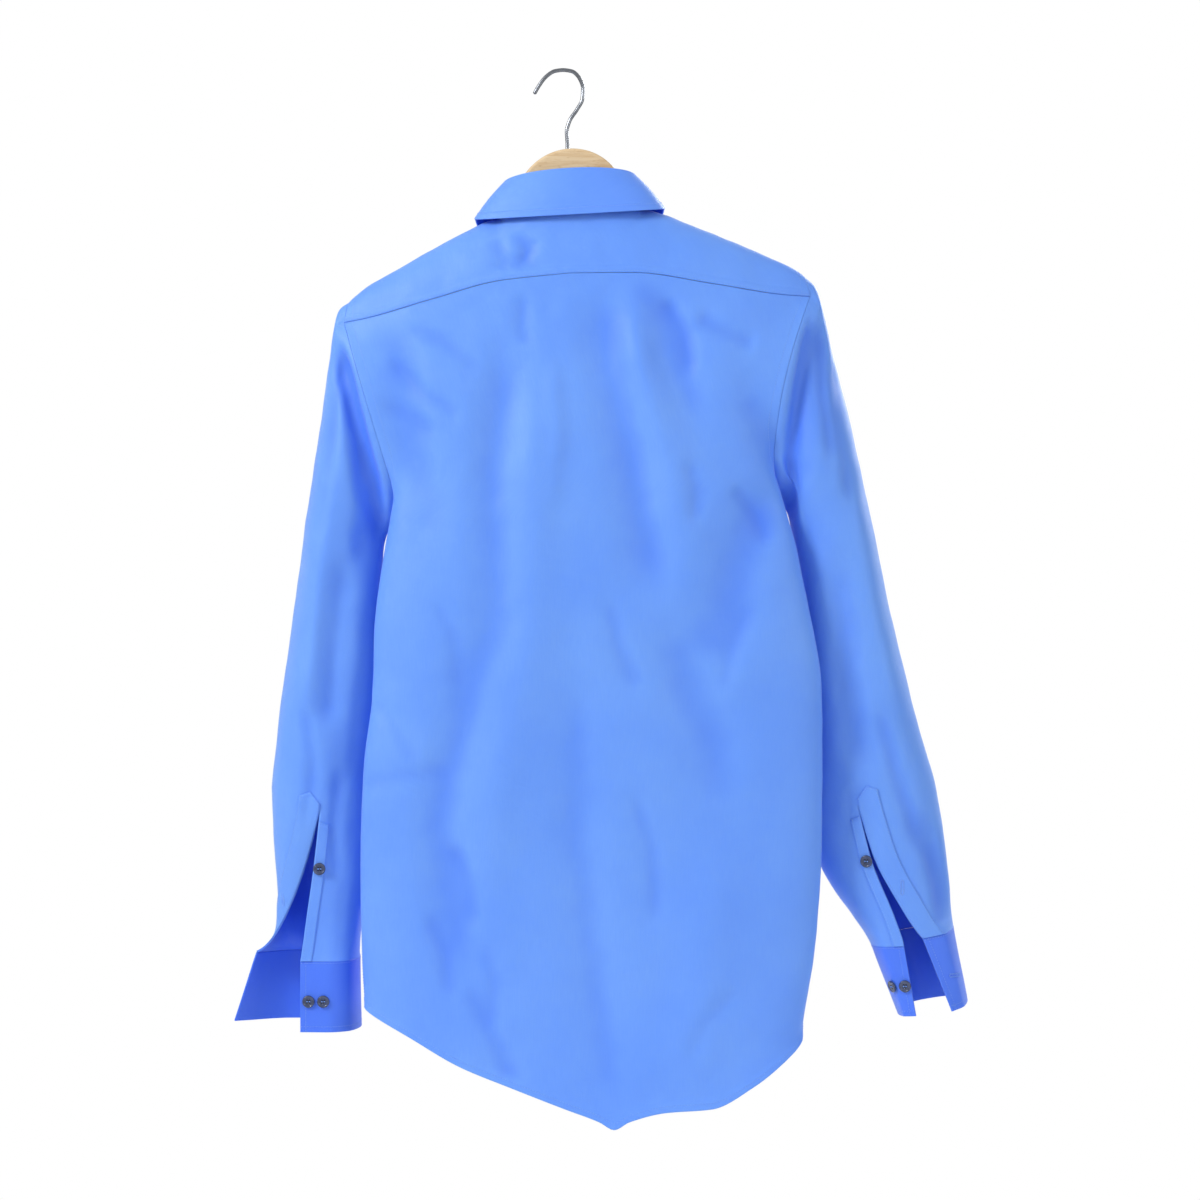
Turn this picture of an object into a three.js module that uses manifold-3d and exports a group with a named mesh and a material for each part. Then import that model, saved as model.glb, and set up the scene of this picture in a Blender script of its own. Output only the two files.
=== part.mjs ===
// A long sleeve dress shirt on a flat wooden hanger, in millimetres, +Z up.
// The wearer faces -Y, so the shirt's left side is at +X and its back is at +Y.
// The origin is the underside of the hanger hook's bend, where a rod carries it.
import * as THREE from "three";
import { mergeVertices } from "three/addons/utils/BufferGeometryUtils.js";
import Module from "manifold-3d";

// Driving sizes.
const CLOTH = 1.2; // wall of the panels and sleeves
const BAND = 1.6; // wall of the collar and cuffs
const STRIP = 1.0; // wall of the plackets
const LAID_GAP = 1.15; // a strip's distance from the panel that it lies on
const SEAM_GAP = 0.3; // space between two pieces at a seam
const NECK_X = -6; // middle of the collar
const SHOULDER_X = -13; // middle between the shoulder tips
const TIP = 212; // half the shoulder width
const TIP_Z = -205;
const PIT_Z = -388;
const PIT_Y = -20;
const SEAM_END_Z = -215; // where the back yoke seam meets the armhole
const FRONT_SEAM_END_Z = -240; // where the front yoke seam meets it
const HANG_TILT = 0.056; // the shoulders slope, in mm a mm
const TILT_TOP = -400; // the tilt fades out from here
const TILT_END = -800; // down to here
const NECK_HALF = 66;
const NECK_CORNER = 57; // x of the front yoke seam's end at the neck
const CORNER_BETA = (121 / 180) * Math.PI; // the same place as an angle round the neck
const FLANK_TUCK = 26; // the front is this much narrower on each side
const FLANK_START = 12; // y where the flank starts to draw in
const FLANK_SOFT = 45; // over about this depth
const EDGE_ROOM = 1.02; // a rounded row needs this much more reach for its edge
const NEST_TOP = -290; // the flank's shape fades in from here to the armpit
const BUTTON_RADIUS = 5.6;
const BUTTON_THICK = 2.4;
const PLACKET_WIDTH = 34;
const FRONT_OVERLAP = 17;
const UNDERLAP = 2.6; // the right front lies this far inside the left one

// Column and row counts of the panels.
const SHOULDER_COLUMNS = 8;
const NECK_COLUMNS = 10;
const FRONT_NECK_COLUMNS = 5;
const ARMHOLE_ROWS = 7;
const SKIRT_ROWS = 14;
const YOKE_ROWS = 8;
const SLEEVE_ROWS = 20;

const COLORS = {
  cloth: 0x75a6fb,
  dense: 0x5c89fd,
  button: 0x3d4e72,
  wood: 0xc6ae8a,
  steel: 0x6f757e,
};

// Small helpers.
const lerp = (a, b, t) => a + (b - a) * t;
const clamp = (x, lo, hi) => Math.min(hi, Math.max(lo, x));
const smooth = (t) => {
  const s = clamp(t, 0, 1);
  return s * s * (3 - 2 * s);
};
const mix = (a, b, t) => a.map((v, i) => lerp(v, b[i], t));
const plus = (a, b, k = 1) => a.map((v, i) => v + b[i] * k);
const minus = (a, b) => a.map((v, i) => v - b[i]);
const cross = (a, b) => [
  a[1] * b[2] - a[2] * b[1],
  a[2] * b[0] - a[0] * b[2],
  a[0] * b[1] - a[1] * b[0],
];
const size = (a) => Math.hypot(...a);
const unit = (a) => a.map((v) => v / (size(a) || 1));

// A smooth value from a table: rows are sorted by their first column, and the
// curve is a cubic whose slopes are limited so that it never swings past a row.
function read(table, column, at) {
  const key = (row) => row[0];
  const last = table.length - 1;
  const down = key(table[0]) > key(table[last]);
  const rows = down ? [...table].reverse() : table;
  const x = clamp(at, key(rows[0]), key(rows[last]));
  let i = 0;
  while (i < last - 1 && x > key(rows[i + 1])) i += 1;
  const slope = (k) =>
    (rows[k + 1][column] - rows[k][column]) / (key(rows[k + 1]) - key(rows[k]));
  const tangent = (k) => {
    if (k === 0) return slope(0);
    if (k === last) return slope(last - 1);
    const [a, b] = [slope(k - 1), slope(k)];
    return a * b <= 0 ? 0 : (2 * a * b) / (a + b);
  };
  const h = key(rows[i + 1]) - key(rows[i]);
  const t = (x - key(rows[i])) / h;
  const [p, q] = [rows[i][column], rows[i + 1][column]];
  return (
    p * (1 + 2 * t) * (1 - t) ** 2 +
    q * t * t * (3 - 2 * t) +
    h * t * (1 - t) * (tangent(i) * (1 - t) - tangent(i + 1) * t)
  );
}

// The body's sections.
// Columns: z, left edge, right edge, y of the back's middle, y of the front's
// middle, x of the back's middle, how far the side seams have turned round.
const BODY = [
  [-181, 199, -225, 31, -70, -6, 0],
  [-250, 190, -214, 36, -86, -8, 0],
  [-320, 172, -203, 38, -92, -12, 0],
  [-388, 158, -200, 38, -92, -20, 0],
  [-440, 168, -214, 37, -90, -23, -3],
  [-493, 174, -225, 36, -88, -25, -7],
  [-556, 176, -237, 34, -85, -30, -11],
  [-620, 184, -238, 33, -83, -27, -15],
  [-700, 186, -238, 32, -81, -26, -19],
  [-798, 183, -230, 34, -79, -24, -24],
  [-860, 178, -218, 35, -78, -20, -27],
  [-946, 172, -206, 36, -76, -17, -29],
];
const [LEFT, RIGHT, BACK_Y, FRONT_Y, MIDDLE, TURN] = [1, 2, 3, 4, 5, 6];

// The back hem. Columns: place from the left side seam to the right one, z.
const BACK_HEM = [
  [0, -838],
  [0.1, -863],
  [0.2, -890],
  [0.3, -909],
  [0.4, -927],
  [0.47, -939],
  [0.5, -946],
  [0.53, -939],
  [0.6, -931],
  [0.69, -928],
  [0.77, -909],
  [0.85, -880],
  [0.93, -847],
  [1, -838],
];
// The front hem. Columns: place from the side seam to the front edge, z.
const FRONT_HEM = [
  [0, -838],
  [0.2, -846],
  [0.45, -872],
  [0.7, -893],
  [1, -900],
];

// The shoulder line. Columns: distance from the middle, z.
const RIDGE = [
  [0, -96],
  [25, -100.5],
  [47, -114],
  [66, -124],
  [98, -138],
  [137, -157],
  [176, -176],
  [197, -188],
  [212, -204],
];
// The yoke's two seams. Columns: distance from the middle, y, z.
const BACK_SEAM = [
  [0, 31, -184],
  [60, 30, -187],
  [125, 26, -200],
  [190, 15, -213],
  [212, 8, SEAM_END_Z],
];
const FRONT_SEAM = [
  [0, -40, -132],
  [57, -42, -157.6],
  [110, -46, -186],
  [160, -48, -214],
  [206, -46, FRONT_SEAM_END_Z],
];
const YOKE_BACK_BEND = (85 / 180) * Math.PI;
const YOKE_FRONT_BEND = (65 / 180) * Math.PI;

// Folds of the body, soft troughs where the depth is negative and ridges where
// it is positive. Each has the side that it is on, its half width, its depth
// and the points that its middle line passes, as x and z.
const BODY_FOLDS = [
  {
    side: 1, wide: 13, deep: -9,
    line: [[-52, -188], [-84, -210], [-92, -232], [-106, -275], [-128, -330]],
  },
  {
    side: 1, wide: 17, deep: -10,
    line: [[-30, -200], [-42, -236], [-52, -296], [-62, -345], [-76, -430], [-92, -492]],
  },
  { side: 1, wide: 18, deep: -8, line: [[-92, -492], [-112, -556], [-134, -602], [-150, -680]] },
  { side: 1, wide: 18, deep: 6, line: [[-62, -215], [-76, -290], [-96, -380], [-118, -450]] },
  {
    side: 1, wide: 17, deep: -9,
    line: [[40, -222], [52, -296], [60, -384], [56, -445], [56, -502], [80, -552]],
  },
  {
    side: 1, wide: 15, deep: -10,
    line: [[56, -502], [80, -552], [96, -615], [112, -678], [100, -730], [94, -775], [86, -830]],
  },
  {
    side: 1, wide: 20, deep: 5,
    line: [[24, -240], [28, -330], [30, -450], [40, -560], [60, -650], [66, -760]],
  },
  { side: 1, wide: 20, deep: -10, line: [[-192, -382], [-168, -418], [-146, -494], [-120, -530]] },
  { side: 1, wide: 14, deep: -7, line: [[-160, -290], [-176, -320], [-194, -360]] },
  {
    side: 1, wide: 16, deep: -7,
    line: [[158, -220], [146, -262], [140, -310], [124, -370], [112, -440]],
  },
  {
    side: 1, wide: 14, deep: -6,
    line: [[-12, -440], [-12, -680], [-22, -750], [-36, -860], [-52, -946]],
  },
  { side: 1, wide: 22, deep: 5, line: [[-150, -700], [-130, -780], [-110, -920]] },
  {
    side: -1, wide: 17, deep: -9,
    line: [[120, -300], [104, -380], [96, -480], [110, -600], [104, -730]],
  },
  {
    side: -1, wide: 18, deep: -8,
    line: [[-140, -290], [-122, -400], [-112, -520], [-124, -640], [-116, -800]],
  },
  { side: -1, wide: 20, deep: 6, line: [[70, -250], [62, -400], [70, -560], [64, -760]] },
  { side: -1, wide: 16, deep: -7, line: [[-84, -240], [-76, -360], [-84, -470]] },
];

// The distance from a point to a line of points, and how far along it lies.
function nearLine(x, z, line) {
  let best = [Infinity, 0];
  for (let i = 0; i + 1 < line.length; i += 1) {
    const [ax, az] = line[i];
    const [dx, dz] = [line[i + 1][0] - ax, line[i + 1][1] - az];
    const t = clamp(((x - ax) * dx + (z - az) * dz) / (dx * dx + dz * dz), 0, 1);
    const gap = Math.hypot(x - ax - dx * t, z - az - dz * t);
    if (gap < best[0]) best = [gap, (i + t) / (line.length - 1)];
  }
  return best;
}

// How far the folds move a point outwards: each one is a bell across its line
// that fades in and out over the line's two ends.
function foldDepth(folds, side, x, z) {
  let sum = 0;
  for (const fold of folds.filter((f) => f.side === side)) {
    const [gap, along] = nearLine(x, z, fold.line);
    const ends = smooth(along / 0.2) * smooth((1 - along) / 0.2);
    sum += fold.deep * Math.exp(-((gap / fold.wide) ** 2)) * ends;
  }
  return sum;
}

// The hanger leans, so everything that it carries is higher on the right.
function tilt([x, y, z]) {
  const fade = 1 - smooth((TILT_TOP - z) / (TILT_TOP - TILT_END));
  return [x, y, z - HANG_TILT * (x - SHOULDER_X) * fade];
}
const middleAt = (distance) =>
  lerp(NECK_X, SHOULDER_X, clamp(Math.abs(distance) / TIP, 0, 1) ** 2);

// The armhole's back and front curves at a height: an oval that leans inwards.
const ARMHOLE_BACK = 40;
const ARMHOLE_FRONT = 57;
function armhole(side, face, z) {
  const t = clamp((TIP_Z - z) / (TIP_Z - PIT_Z), 0, 1);
  const bulge = (2 * Math.sqrt(t * (1 - t))) ** 1.3;
  const pitX = side > 0 ? read(BODY, LEFT, PIT_Z) : read(BODY, RIGHT, PIT_Z);
  const pit = pitX - side * 12;
  const tip = SHOULDER_X + side * TIP;
  const tuck = side > 0 ? 0 : 10;
  const x = lerp(tip, pit, t) - side * tuck * Math.sin(Math.PI * t);
  const y = PIT_Y * t + (face > 0 ? ARMHOLE_BACK : -ARMHOLE_FRONT) * bulge;
  return [x, y];
}

// How far the flank draws in at a depth, so that the sleeve nests beside it.
const flankTuck = (y) => FLANK_TUCK * Math.tanh(Math.max(0, FLANK_START - y) / FLANK_SOFT);

// Points along half a row, from the middle of the back or front to one end. A
// row is a rounded quarter that reaches the side's depth, and above the armpit
// the armhole cuts it short.
const HALF_SAMPLES = 24;
const EDGE_POWER = 2; // how near to its end a row bends to meet the armhole
function halfRow(z, side, face) {
  const open = z >= PIT_Z;
  const corner = lerp(1, 0.5, smooth((SEAM_END_Z - z) / (SEAM_END_Z - PIT_Z)));
  const nearPit = smooth((z - NEST_TOP) / (PIT_Z - NEST_TOP));
  const middleX = read(BODY, MIDDLE, z);
  const middleY = read(BODY, face > 0 ? BACK_Y : FRONT_Y, z);
  const edge = read(BODY, side > 0 ? LEFT : RIGHT, z);
  const wide = Math.abs(edge - middleX) * EDGE_ROOM;
  const [cutX, cutY] = armhole(side, face, z);
  const baseY = open ? lerp(cutY, PIT_Y, nearPit) : PIT_Y;
  const cut = open ? clamp((cutY - baseY) / (middleY - baseY), 0, 1) : 0;
  const endAngle = Math.acos(cut ** (1 / corner));
  const endShare = Math.sin(endAngle) ** corner;
  const cutWide = (Math.abs(cutX - middleX) + flankTuck(cutY) * nearPit) / endShare;
  const reach = open ? lerp(cutWide, wide, nearPit) : wide;
  const away = open ? Math.abs(cutX - middleX) - reach * endShare + flankTuck(cutY) * nearPit : 0;
  const quarter = (last, bend) => {
    const points = [];
    for (let i = 0; i <= HALF_SAMPLES; i += 1) {
      const share = i / HALF_SAMPLES;
      const y = baseY + (middleY - baseY) * Math.cos(share * last) ** corner;
      const across = Math.sin(share * last) ** corner;
      const tuck = flankTuck(y) * nearPit * smooth(across * 2);
      const x = reach * across - tuck + bend * share ** EDGE_POWER;
      points.push([middleX + side * x, y]);
    }
    return points;
  };
  const points = quarter(endAngle, away);
  return { points, uncut: open ? runLength(quarter(Math.PI / 2, 0)) : runLength(points) };
}

// The length of a run of points, and a place on it by its share of that length.
const runLength = (points) =>
  points.slice(1).reduce((sum, p, i) => sum + size(minus(p, points[i])), 0);
function placeOn(points, share) {
  const lengths = [0];
  for (let i = 1; i < points.length; i += 1) {
    lengths.push(lengths[i - 1] + size(minus(points[i], points[i - 1])));
  }
  const wanted = share * lengths[lengths.length - 1];
  let i = 0;
  while (i < points.length - 2 && lengths[i + 1] < wanted) i += 1;
  const t = (wanted - lengths[i]) / (lengths[i + 1] - lengths[i]);
  return mix(points[i], points[i + 1], t);
}

// The whole ring at a height, from the left side over the back to the right
// side and over the front to the left again, with the lengths of its two parts.
function ringAt(z) {
  const half = (side, face) => halfRow(z, side, face).points;
  const over = [...half(1, 1).reverse(), ...half(-1, 1).slice(1)];
  const under = [...half(-1, -1).reverse(), ...half(1, -1).slice(1)];
  return { points: [...over, ...under.slice(1)], over: runLength(over), under: runLength(under) };
}

// A place on a row that the armhole cuts: shares count along the uncut row, so
// that the columns hang straight, and close up only near the row's two ends.
const CLOSING = 3;
function placeOnCut(z, share, face) {
  const [left, right] = [halfRow(z, 1, face), halfRow(z, -1, face)];
  const along = clamp(share, 0, 1) * (left.uncut + right.uncut) - left.uncut;
  const { points, uncut } = along < 0 ? left : right;
  const part = Math.abs(along) / uncut;
  const whole = runLength(points);
  const reached = part * uncut - (uncut - whole) * part ** CLOSING;
  return placeOn(points, clamp(reached / whole, 0, 1));
}

// A body point on the back (face 1) or the front (face -1). Share runs from the
// panel's left end to its right end, and below the armhole it can run on past
// the side seam. Both side seams turn round the ring by the same length.
function bodyAt(z, share, face) {
  let flat;
  if (z >= PIT_Z) {
    flat = placeOnCut(z, share, face);
  } else {
    const { points, over, under } = ringAt(z);
    const total = over + under;
    const along = face > 0 ? share * over : -share * under;
    const place = (along - read(BODY, TURN, z)) / total;
    flat = placeOn(points, place - Math.floor(place));
  }
  const [x, y] = flat;
  const side = y > PIT_Y ? 1 : -1;
  const depth = Math.abs(y - PIT_Y) / Math.abs(read(BODY, side > 0 ? BACK_Y : FRONT_Y, z) - PIT_Y);
  const facing = smooth(depth * 1.25);
  return [x, y + side * facing * foldDepth(BODY_FOLDS, side, x, z), z];
}

// The yoke's section at a distance from the middle: place runs from 1 at the
// back seam over the shoulder line at 0 to -1 at the front seam.
function yokeAt(distance, place) {
  const d = Math.abs(distance);
  const seam = place > 0 ? BACK_SEAM : FRONT_SEAM;
  const bend = place > 0 ? YOKE_BACK_BEND : YOKE_FRONT_BEND;
  const ridge = read(RIDGE, 1, d);
  const angle = Math.abs(place) * bend;
  const y = read(seam, 1, d) * (Math.sin(angle) / Math.sin(bend));
  const drop = (1 - Math.cos(angle)) / (1 - Math.cos(bend));
  return [distance + middleAt(distance), y, ridge - (ridge - read(seam, 2, d)) * drop];
}

// The neckline as distance and place on the yoke, and as a point all round it.
const NECK_BACK_PLACE = 0.53;
function neckOnYoke(beta) {
  const c = Math.cos(beta);
  const place = c > 0 ? NECK_BACK_PLACE * c : c / Math.abs(Math.cos(CORNER_BETA));
  const reach = c > 0 ? NECK_HALF : lerp(NECK_HALF, NECK_CORNER / Math.sin(CORNER_BETA), -place);
  return [reach * Math.sin(beta), place];
}
function neckline(beta) {
  if (Math.abs(beta) <= CORNER_BETA + 1e-6) {
    return yokeAt(...neckOnYoke(beta));
  }
  const edge = Math.cos(CORNER_BETA);
  const t = (Math.cos(beta) - edge) / (-1 - edge);
  const reach = NECK_CORNER / Math.sin(CORNER_BETA);
  return [
    NECK_X + reach * Math.sin(beta),
    lerp(-42, -76, t),
    lerp(-157.6, -201, t ** 1.15),
  ];
}

// A panel's grid of outer points: grid[row][column].
const countTo = (last) => Array.from({ length: last + 1 }, (_, i) => i);
const BACK_COLUMNS = 2 * SHOULDER_COLUMNS + NECK_COLUMNS;

// The back yoke seam as a run of points from the left end to the right end.
const seamEnd = (z, table) => {
  const target = armhole(1, table === BACK_SEAM ? 1 : -1, z)[0];
  let d = TIP;
  for (let i = 0; i < 12; i += 1) d -= d + middleAt(d) - target;
  return d;
};
const BACK_END = seamEnd(SEAM_END_Z, BACK_SEAM);
const FRONT_END = seamEnd(FRONT_SEAM_END_Z, FRONT_SEAM);
function backSeam(share) {
  const distance = lerp(BACK_END, -BACK_END, share);
  return yokeAt(distance, 1);
}

// Heights of the rows at the side, as shares of the way from the seam's end to
// the hem. The armhole's rows are spaced by its angle and the rest evenly.
function rowHeights(startZ) {
  const heights = [];
  const angleOf = (z) => Math.acos(1 - (2 * (TIP_Z - z)) / (TIP_Z - PIT_Z));
  const first = angleOf(startZ);
  for (let i = 0; i < ARMHOLE_ROWS; i += 1) {
    const angle = lerp(first, Math.PI, i / ARMHOLE_ROWS);
    heights.push(TIP_Z + ((PIT_Z - TIP_Z) * (1 - Math.cos(angle))) / 2);
  }
  const hem = BACK_HEM[0][1];
  for (let i = 0; i <= SKIRT_ROWS; i += 1) heights.push(lerp(PIT_Z, hem, i / SKIRT_ROWS));
  return heights;
}

// A panel that hangs from its top edge: rows follow the body's sections, and
// what the top edge is away from them fades out below it.
const TOP_FADE = 0.22;
function hungPoint(top, hemZ, down, share, face) {
  const z = lerp(top[2], hemZ, down);
  const edgeZ = Math.min(top[2], TIP_Z);
  const base = bodyAt(Math.min(z, TIP_Z), share, face);
  const natural = bodyAt(edgeZ, share, face);
  const fade = 1 - smooth(down / TOP_FADE);
  return [
    base[0] + (top[0] - natural[0]) * fade,
    base[1] + (top[1] - natural[1]) * fade,
    z,
  ];
}
function backPoint(down, share) {
  return hungPoint(backSeam(share), read(BACK_HEM, 1, share), down, share, 1);
}

// The front's top edge for its left or right side: along the yoke's front seam
// and then along the neckline to the front edge, which lies past the middle.
const FRONT_COLUMNS = SHOULDER_COLUMNS + FRONT_NECK_COLUMNS;
const LAP_BETA = FRONT_OVERLAP / NECK_HALF;
function frontTop(side, column) {
  if (column <= SHOULDER_COLUMNS) {
    const distance = lerp(FRONT_END, NECK_CORNER, column / SHOULDER_COLUMNS);
    return yokeAt(side * distance, -1);
  }
  const t = (column - SHOULDER_COLUMNS) / FRONT_NECK_COLUMNS;
  return neckline(side * lerp(CORNER_BETA, Math.PI + LAP_BETA, t));
}
// The right front's edge lies under the left one.
const underLeft = (side, past) => (side < 0 ? UNDERLAP * smooth((past - 0.6) / 0.2) : 0);
const FRONT_RUN = 235; // about half of a front row
function frontPoint(side, down, column) {
  const past = column / FRONT_COLUMNS;
  const run = (past / 2) * (1 + FRONT_OVERLAP / FRONT_RUN);
  const top = frontTop(side, column);
  const hem = read(FRONT_HEM, 1, past);
  const point = hungPoint(top, hem, down, side > 0 ? run : 1 - run, -1);
  return plus(point, [0, underLeft(side, past), 0]);
}

// Normals of a grid by central differences, with the rows and columns that lie
// past its edges worked out from the same function.
const STEP = 0.02;
function panel(rows, columns, at, flip) {
  const grid = [];
  const normals = [];
  for (const row of rows) {
    const line = [];
    const out = [];
    for (const column of columns) {
      const p = at(row, column);
      const a = at(row - STEP, column);
      const b = at(row + STEP, column);
      const c = at(row, column - STEP);
      const d = at(row, column + STEP);
      let n = unit(cross(minus(b, a), minus(d, c)));
      if (flip) n = n.map((v) => -v);
      line.push(p);
      out.push(n);
    }
    grid.push(line);
    normals.push(out);
  }
  return { grid, normals };
}

// The walls wait here until their seam normals are shared.
const walls = [];

// A wall from a grid: outer skin, inner skin and rims. Rows up to joined close
// round a tube, and rows below it leave a slit.
function wall(name, { grid, normals }, { thick, color, flip = false, joined = -1, family = "" }) {
  walls.push({ name, grid, normals, thick, color, flip, joined, family });
}

// Where two pieces of one family meet, their edge points take one normal, so
// that the edges of both walls stand face to face like a mitre.
const MEETING = 2.2;
function shareSeams() {
  const edges = [];
  for (const w of walls.filter((item) => item.family)) {
    const last = w.grid.length - 1;
    const end = w.grid[0].length - 1;
    w.grid.forEach((line, i) =>
      line.forEach((point, j) => {
        if (i === 0 || i === last || j === 0 || j === end) edges.push({ w, i, j, point });
      }),
    );
  }
  const shared = edges.map((edge) => {
    let sum = edge.w.normals[edge.i][edge.j];
    for (const other of edges) {
      if (other.w === edge.w || other.w.family !== edge.w.family) continue;
      if (size(minus(other.point, edge.point)) < MEETING) {
        sum = plus(sum, other.w.normals[other.i][other.j]);
      }
    }
    return unit(sum);
  });
  edges.forEach((edge, k) => {
    edge.w.normals[edge.i][edge.j] = shared[k];
  });
}

function meshOf(positions, triangles, name, color, metalness = 0, roughness = 0.6) {
  const geometry = new THREE.BufferGeometry();
  geometry.setAttribute("position", new THREE.Float32BufferAttribute(positions.flat(), 3));
  geometry.setIndex(triangles.flat());
  geometry.computeVertexNormals();
  const mesh = new THREE.Mesh(
    geometry,
    new THREE.MeshStandardMaterial({ color, metalness, roughness }),
  );
  mesh.name = name;
  return mesh;
}

function closeWall({ name, grid, normals, thick, color, flip, joined }) {
  const width = grid[0].length;
  const outer = [];
  const inner = [];
  const index = grid.map((line, i) =>
    line.map((point, j) => {
      if (i <= joined && j === width - 1) return -1;
      outer.push(point);
      inner.push(plus(point, normals[i][j], -thick));
      return outer.length - 1;
    }),
  );
  index.forEach((line, i) => {
    if (i <= joined) line[width - 1] = line[0];
  });
  const faces = [];
  for (let i = 0; i + 1 < grid.length; i += 1) {
    for (let j = 0; j + 1 < width; j += 1) {
      const [a, b, c, d] = [index[i][j], index[i + 1][j], index[i + 1][j + 1], index[i][j + 1]];
      faces.push([a, b, c], [a, c, d]);
    }
  }
  const turned = flip ? faces.map(([a, b, c]) => [a, c, b]) : faces;
  const used = new Map();
  for (const [a, b, c] of turned) {
    for (const [p, q] of [[a, b], [b, c], [c, a]]) used.set(`${p}_${q}`, [p, q]);
  }
  const shift = outer.length;
  const triangles = [...turned];
  for (const [a, b, c] of turned) triangles.push([a + shift, c + shift, b + shift]);
  for (const [p, q] of used.values()) {
    if (used.has(`${q}_${p}`)) continue;
    triangles.push([p, p + shift, q + shift], [p, q + shift, q]);
  }
  return meshOf([...outer, ...inner], triangles, name, color);
}

// Rows and columns, drawn in by half a seam gap at their two ends.
function inset(values, share) {
  const last = values.length - 1;
  return values.map((v, i) => (i === 0 ? v + share : i === last ? v - share : v));
}

// Back and fronts.
const HALF_GAP = SEAM_GAP * 0.75;
const tilted = (at) => (row, column) => tilt(at(row, column));
const downOf = (heights) =>
  heights.map((z) => (heights[0] - z) / (heights[0] - heights[heights.length - 1]));
const COLUMN_WIDTH = 17; // of a panel, about
const PANEL_HEIGHT = 680;
const PAST_HEM = 1.05; // how far down a panel's surface can be read
const backRows = inset(downOf(rowHeights(SEAM_END_Z)), HALF_GAP / PANEL_HEIGHT);
const frontRows = inset(downOf(rowHeights(FRONT_SEAM_END_Z)), HALF_GAP / PANEL_HEIGHT);

const backAt = tilted((down, column) => backPoint(clamp(down, 0, PAST_HEM), column / BACK_COLUMNS));
wall(
  "back",
  panel(backRows, inset(countTo(BACK_COLUMNS), HALF_GAP / COLUMN_WIDTH), backAt, false),
  { thick: CLOTH, color: COLORS.cloth, family: "body" },
);
const frontColumns = inset(countTo(FRONT_COLUMNS), HALF_GAP / COLUMN_WIDTH);
for (const [name, side] of [["front_left", 1], ["front_right", -1]]) {
  const at = tilted((down, column) => frontPoint(side, clamp(down, 0, PAST_HEM), column));
  wall(name, panel(frontRows, frontColumns, at, side > 0), {
    thick: CLOTH,
    color: COLORS.cloth,
    flip: side > 0,
    family: "body",
  });
}

// Yoke: columns fan out from the neckline and the front seams to the back seam.
function yokeTop(column) {
  const right = SHOULDER_COLUMNS + NECK_COLUMNS;
  if (column <= SHOULDER_COLUMNS) {
    return [lerp(FRONT_END, NECK_CORNER, column / SHOULDER_COLUMNS), -1];
  }
  if (column >= right) {
    return [lerp(-NECK_CORNER, -FRONT_END, (column - right) / SHOULDER_COLUMNS), -1];
  }
  return neckOnYoke(lerp(CORNER_BETA, -CORNER_BETA, (column - SHOULDER_COLUMNS) / NECK_COLUMNS));
}
function yokePoint(up, column) {
  const [topDistance, topPlace] = yokeTop(column);
  const bottom = lerp(BACK_END, -BACK_END, column / BACK_COLUMNS);
  return yokeAt(lerp(bottom, topDistance, up), lerp(1, topPlace, up));
}
const YOKE_GAP = HALF_GAP / 60; // the same gap as a share of the yoke's height
const yokeRows = countTo(YOKE_ROWS).map((i) => clamp(1 - i / YOKE_ROWS, YOKE_GAP, 1 - YOKE_GAP));
const yokeColumns = inset(countTo(BACK_COLUMNS), HALF_GAP / COLUMN_WIDTH);
wall("yoke", panel(yokeRows, yokeColumns, tilted(yokePoint), true), {
  thick: CLOTH,
  color: COLORS.cloth,
  family: "body",
});

// Sleeves.
// Columns: place down the sleeve, x and z of the outer line, x and z of the
// inner line, y of both, how far the ring bulges to the back and to the front,
// and how much of that it loses towards the inner line.
const SLEEVES = {
  left: [
    [0, 199, -217, 146, -397, -2, -20, 40, 57, 0],
    [0.03, 207, -222, 153, -406, -4, -21, 42, 57, 0.05],
    [0.06, 211, -240, 160, -417, -8, -23, 44, 58, 0.12],
    [0.1, 215, -270, 163, -436, -14, -26, 47, 58, 0.2],
    [0.2, 223.5, -334, 165, -475, -26, -34, 54, 60, 0.4],
    [0.35, 237, -421, 163, -533, -36, -42, 57, 58, 0.45],
    [0.5, 249.5, -509, 167, -592, -42, -46, 54, 53, 0.45],
    [0.65, 262, -597, 171, -650, -45, -47, 48, 48, 0.42],
    [0.8, 271, -684, 173, -709, -46, -47, 42, 46, 0.3],
    [0.9, 275, -743, 179, -752, -46, -47, 40, 46, 0.1],
    [1, 276, -801, 186, -801, -46, -47, 40, 46, 0],
  ],
  right: [
    [0, -225, -193, -191.5, -379, -2, -20, 40, 57, 0],
    [0.03, -234, -201, -201, -388, -4, -21, 42, 57, 0.05],
    [0.06, -239, -219, -206, -399, -8, -23, 44, 58, 0.12],
    [0.1, -246, -252, -210, -418, -14, -26, 47, 58, 0.2],
    [0.2, -260, -311, -216, -461, -26, -34, 54, 60, 0.4],
    [0.35, -279.5, -399, -221, -522, -36, -42, 57, 58, 0.45],
    [0.5, -299, -488, -223, -584, -42, -46, 54, 53, 0.45],
    [0.65, -321, -576, -225, -645, -45, -47, 48, 50, 0.42],
    [0.8, -346, -665, -227, -707, -46, -47, 42, 50, 0.3],
    [0.9, -356.5, -724, -250, -748, -46, -47, 38, 52, 0.1],
    [1, -360, -783, -281, -789, -46, -47, 36, 52, 0],
  ],
};
const [OUT_X, OUT_Z, IN_X, IN_Z, OUT_Y, IN_Y] = [1, 2, 3, 4, 5, 6];
const [BULGE_BACK, BULGE_FRONT, TAPER] = [7, 8, 9];

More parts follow.
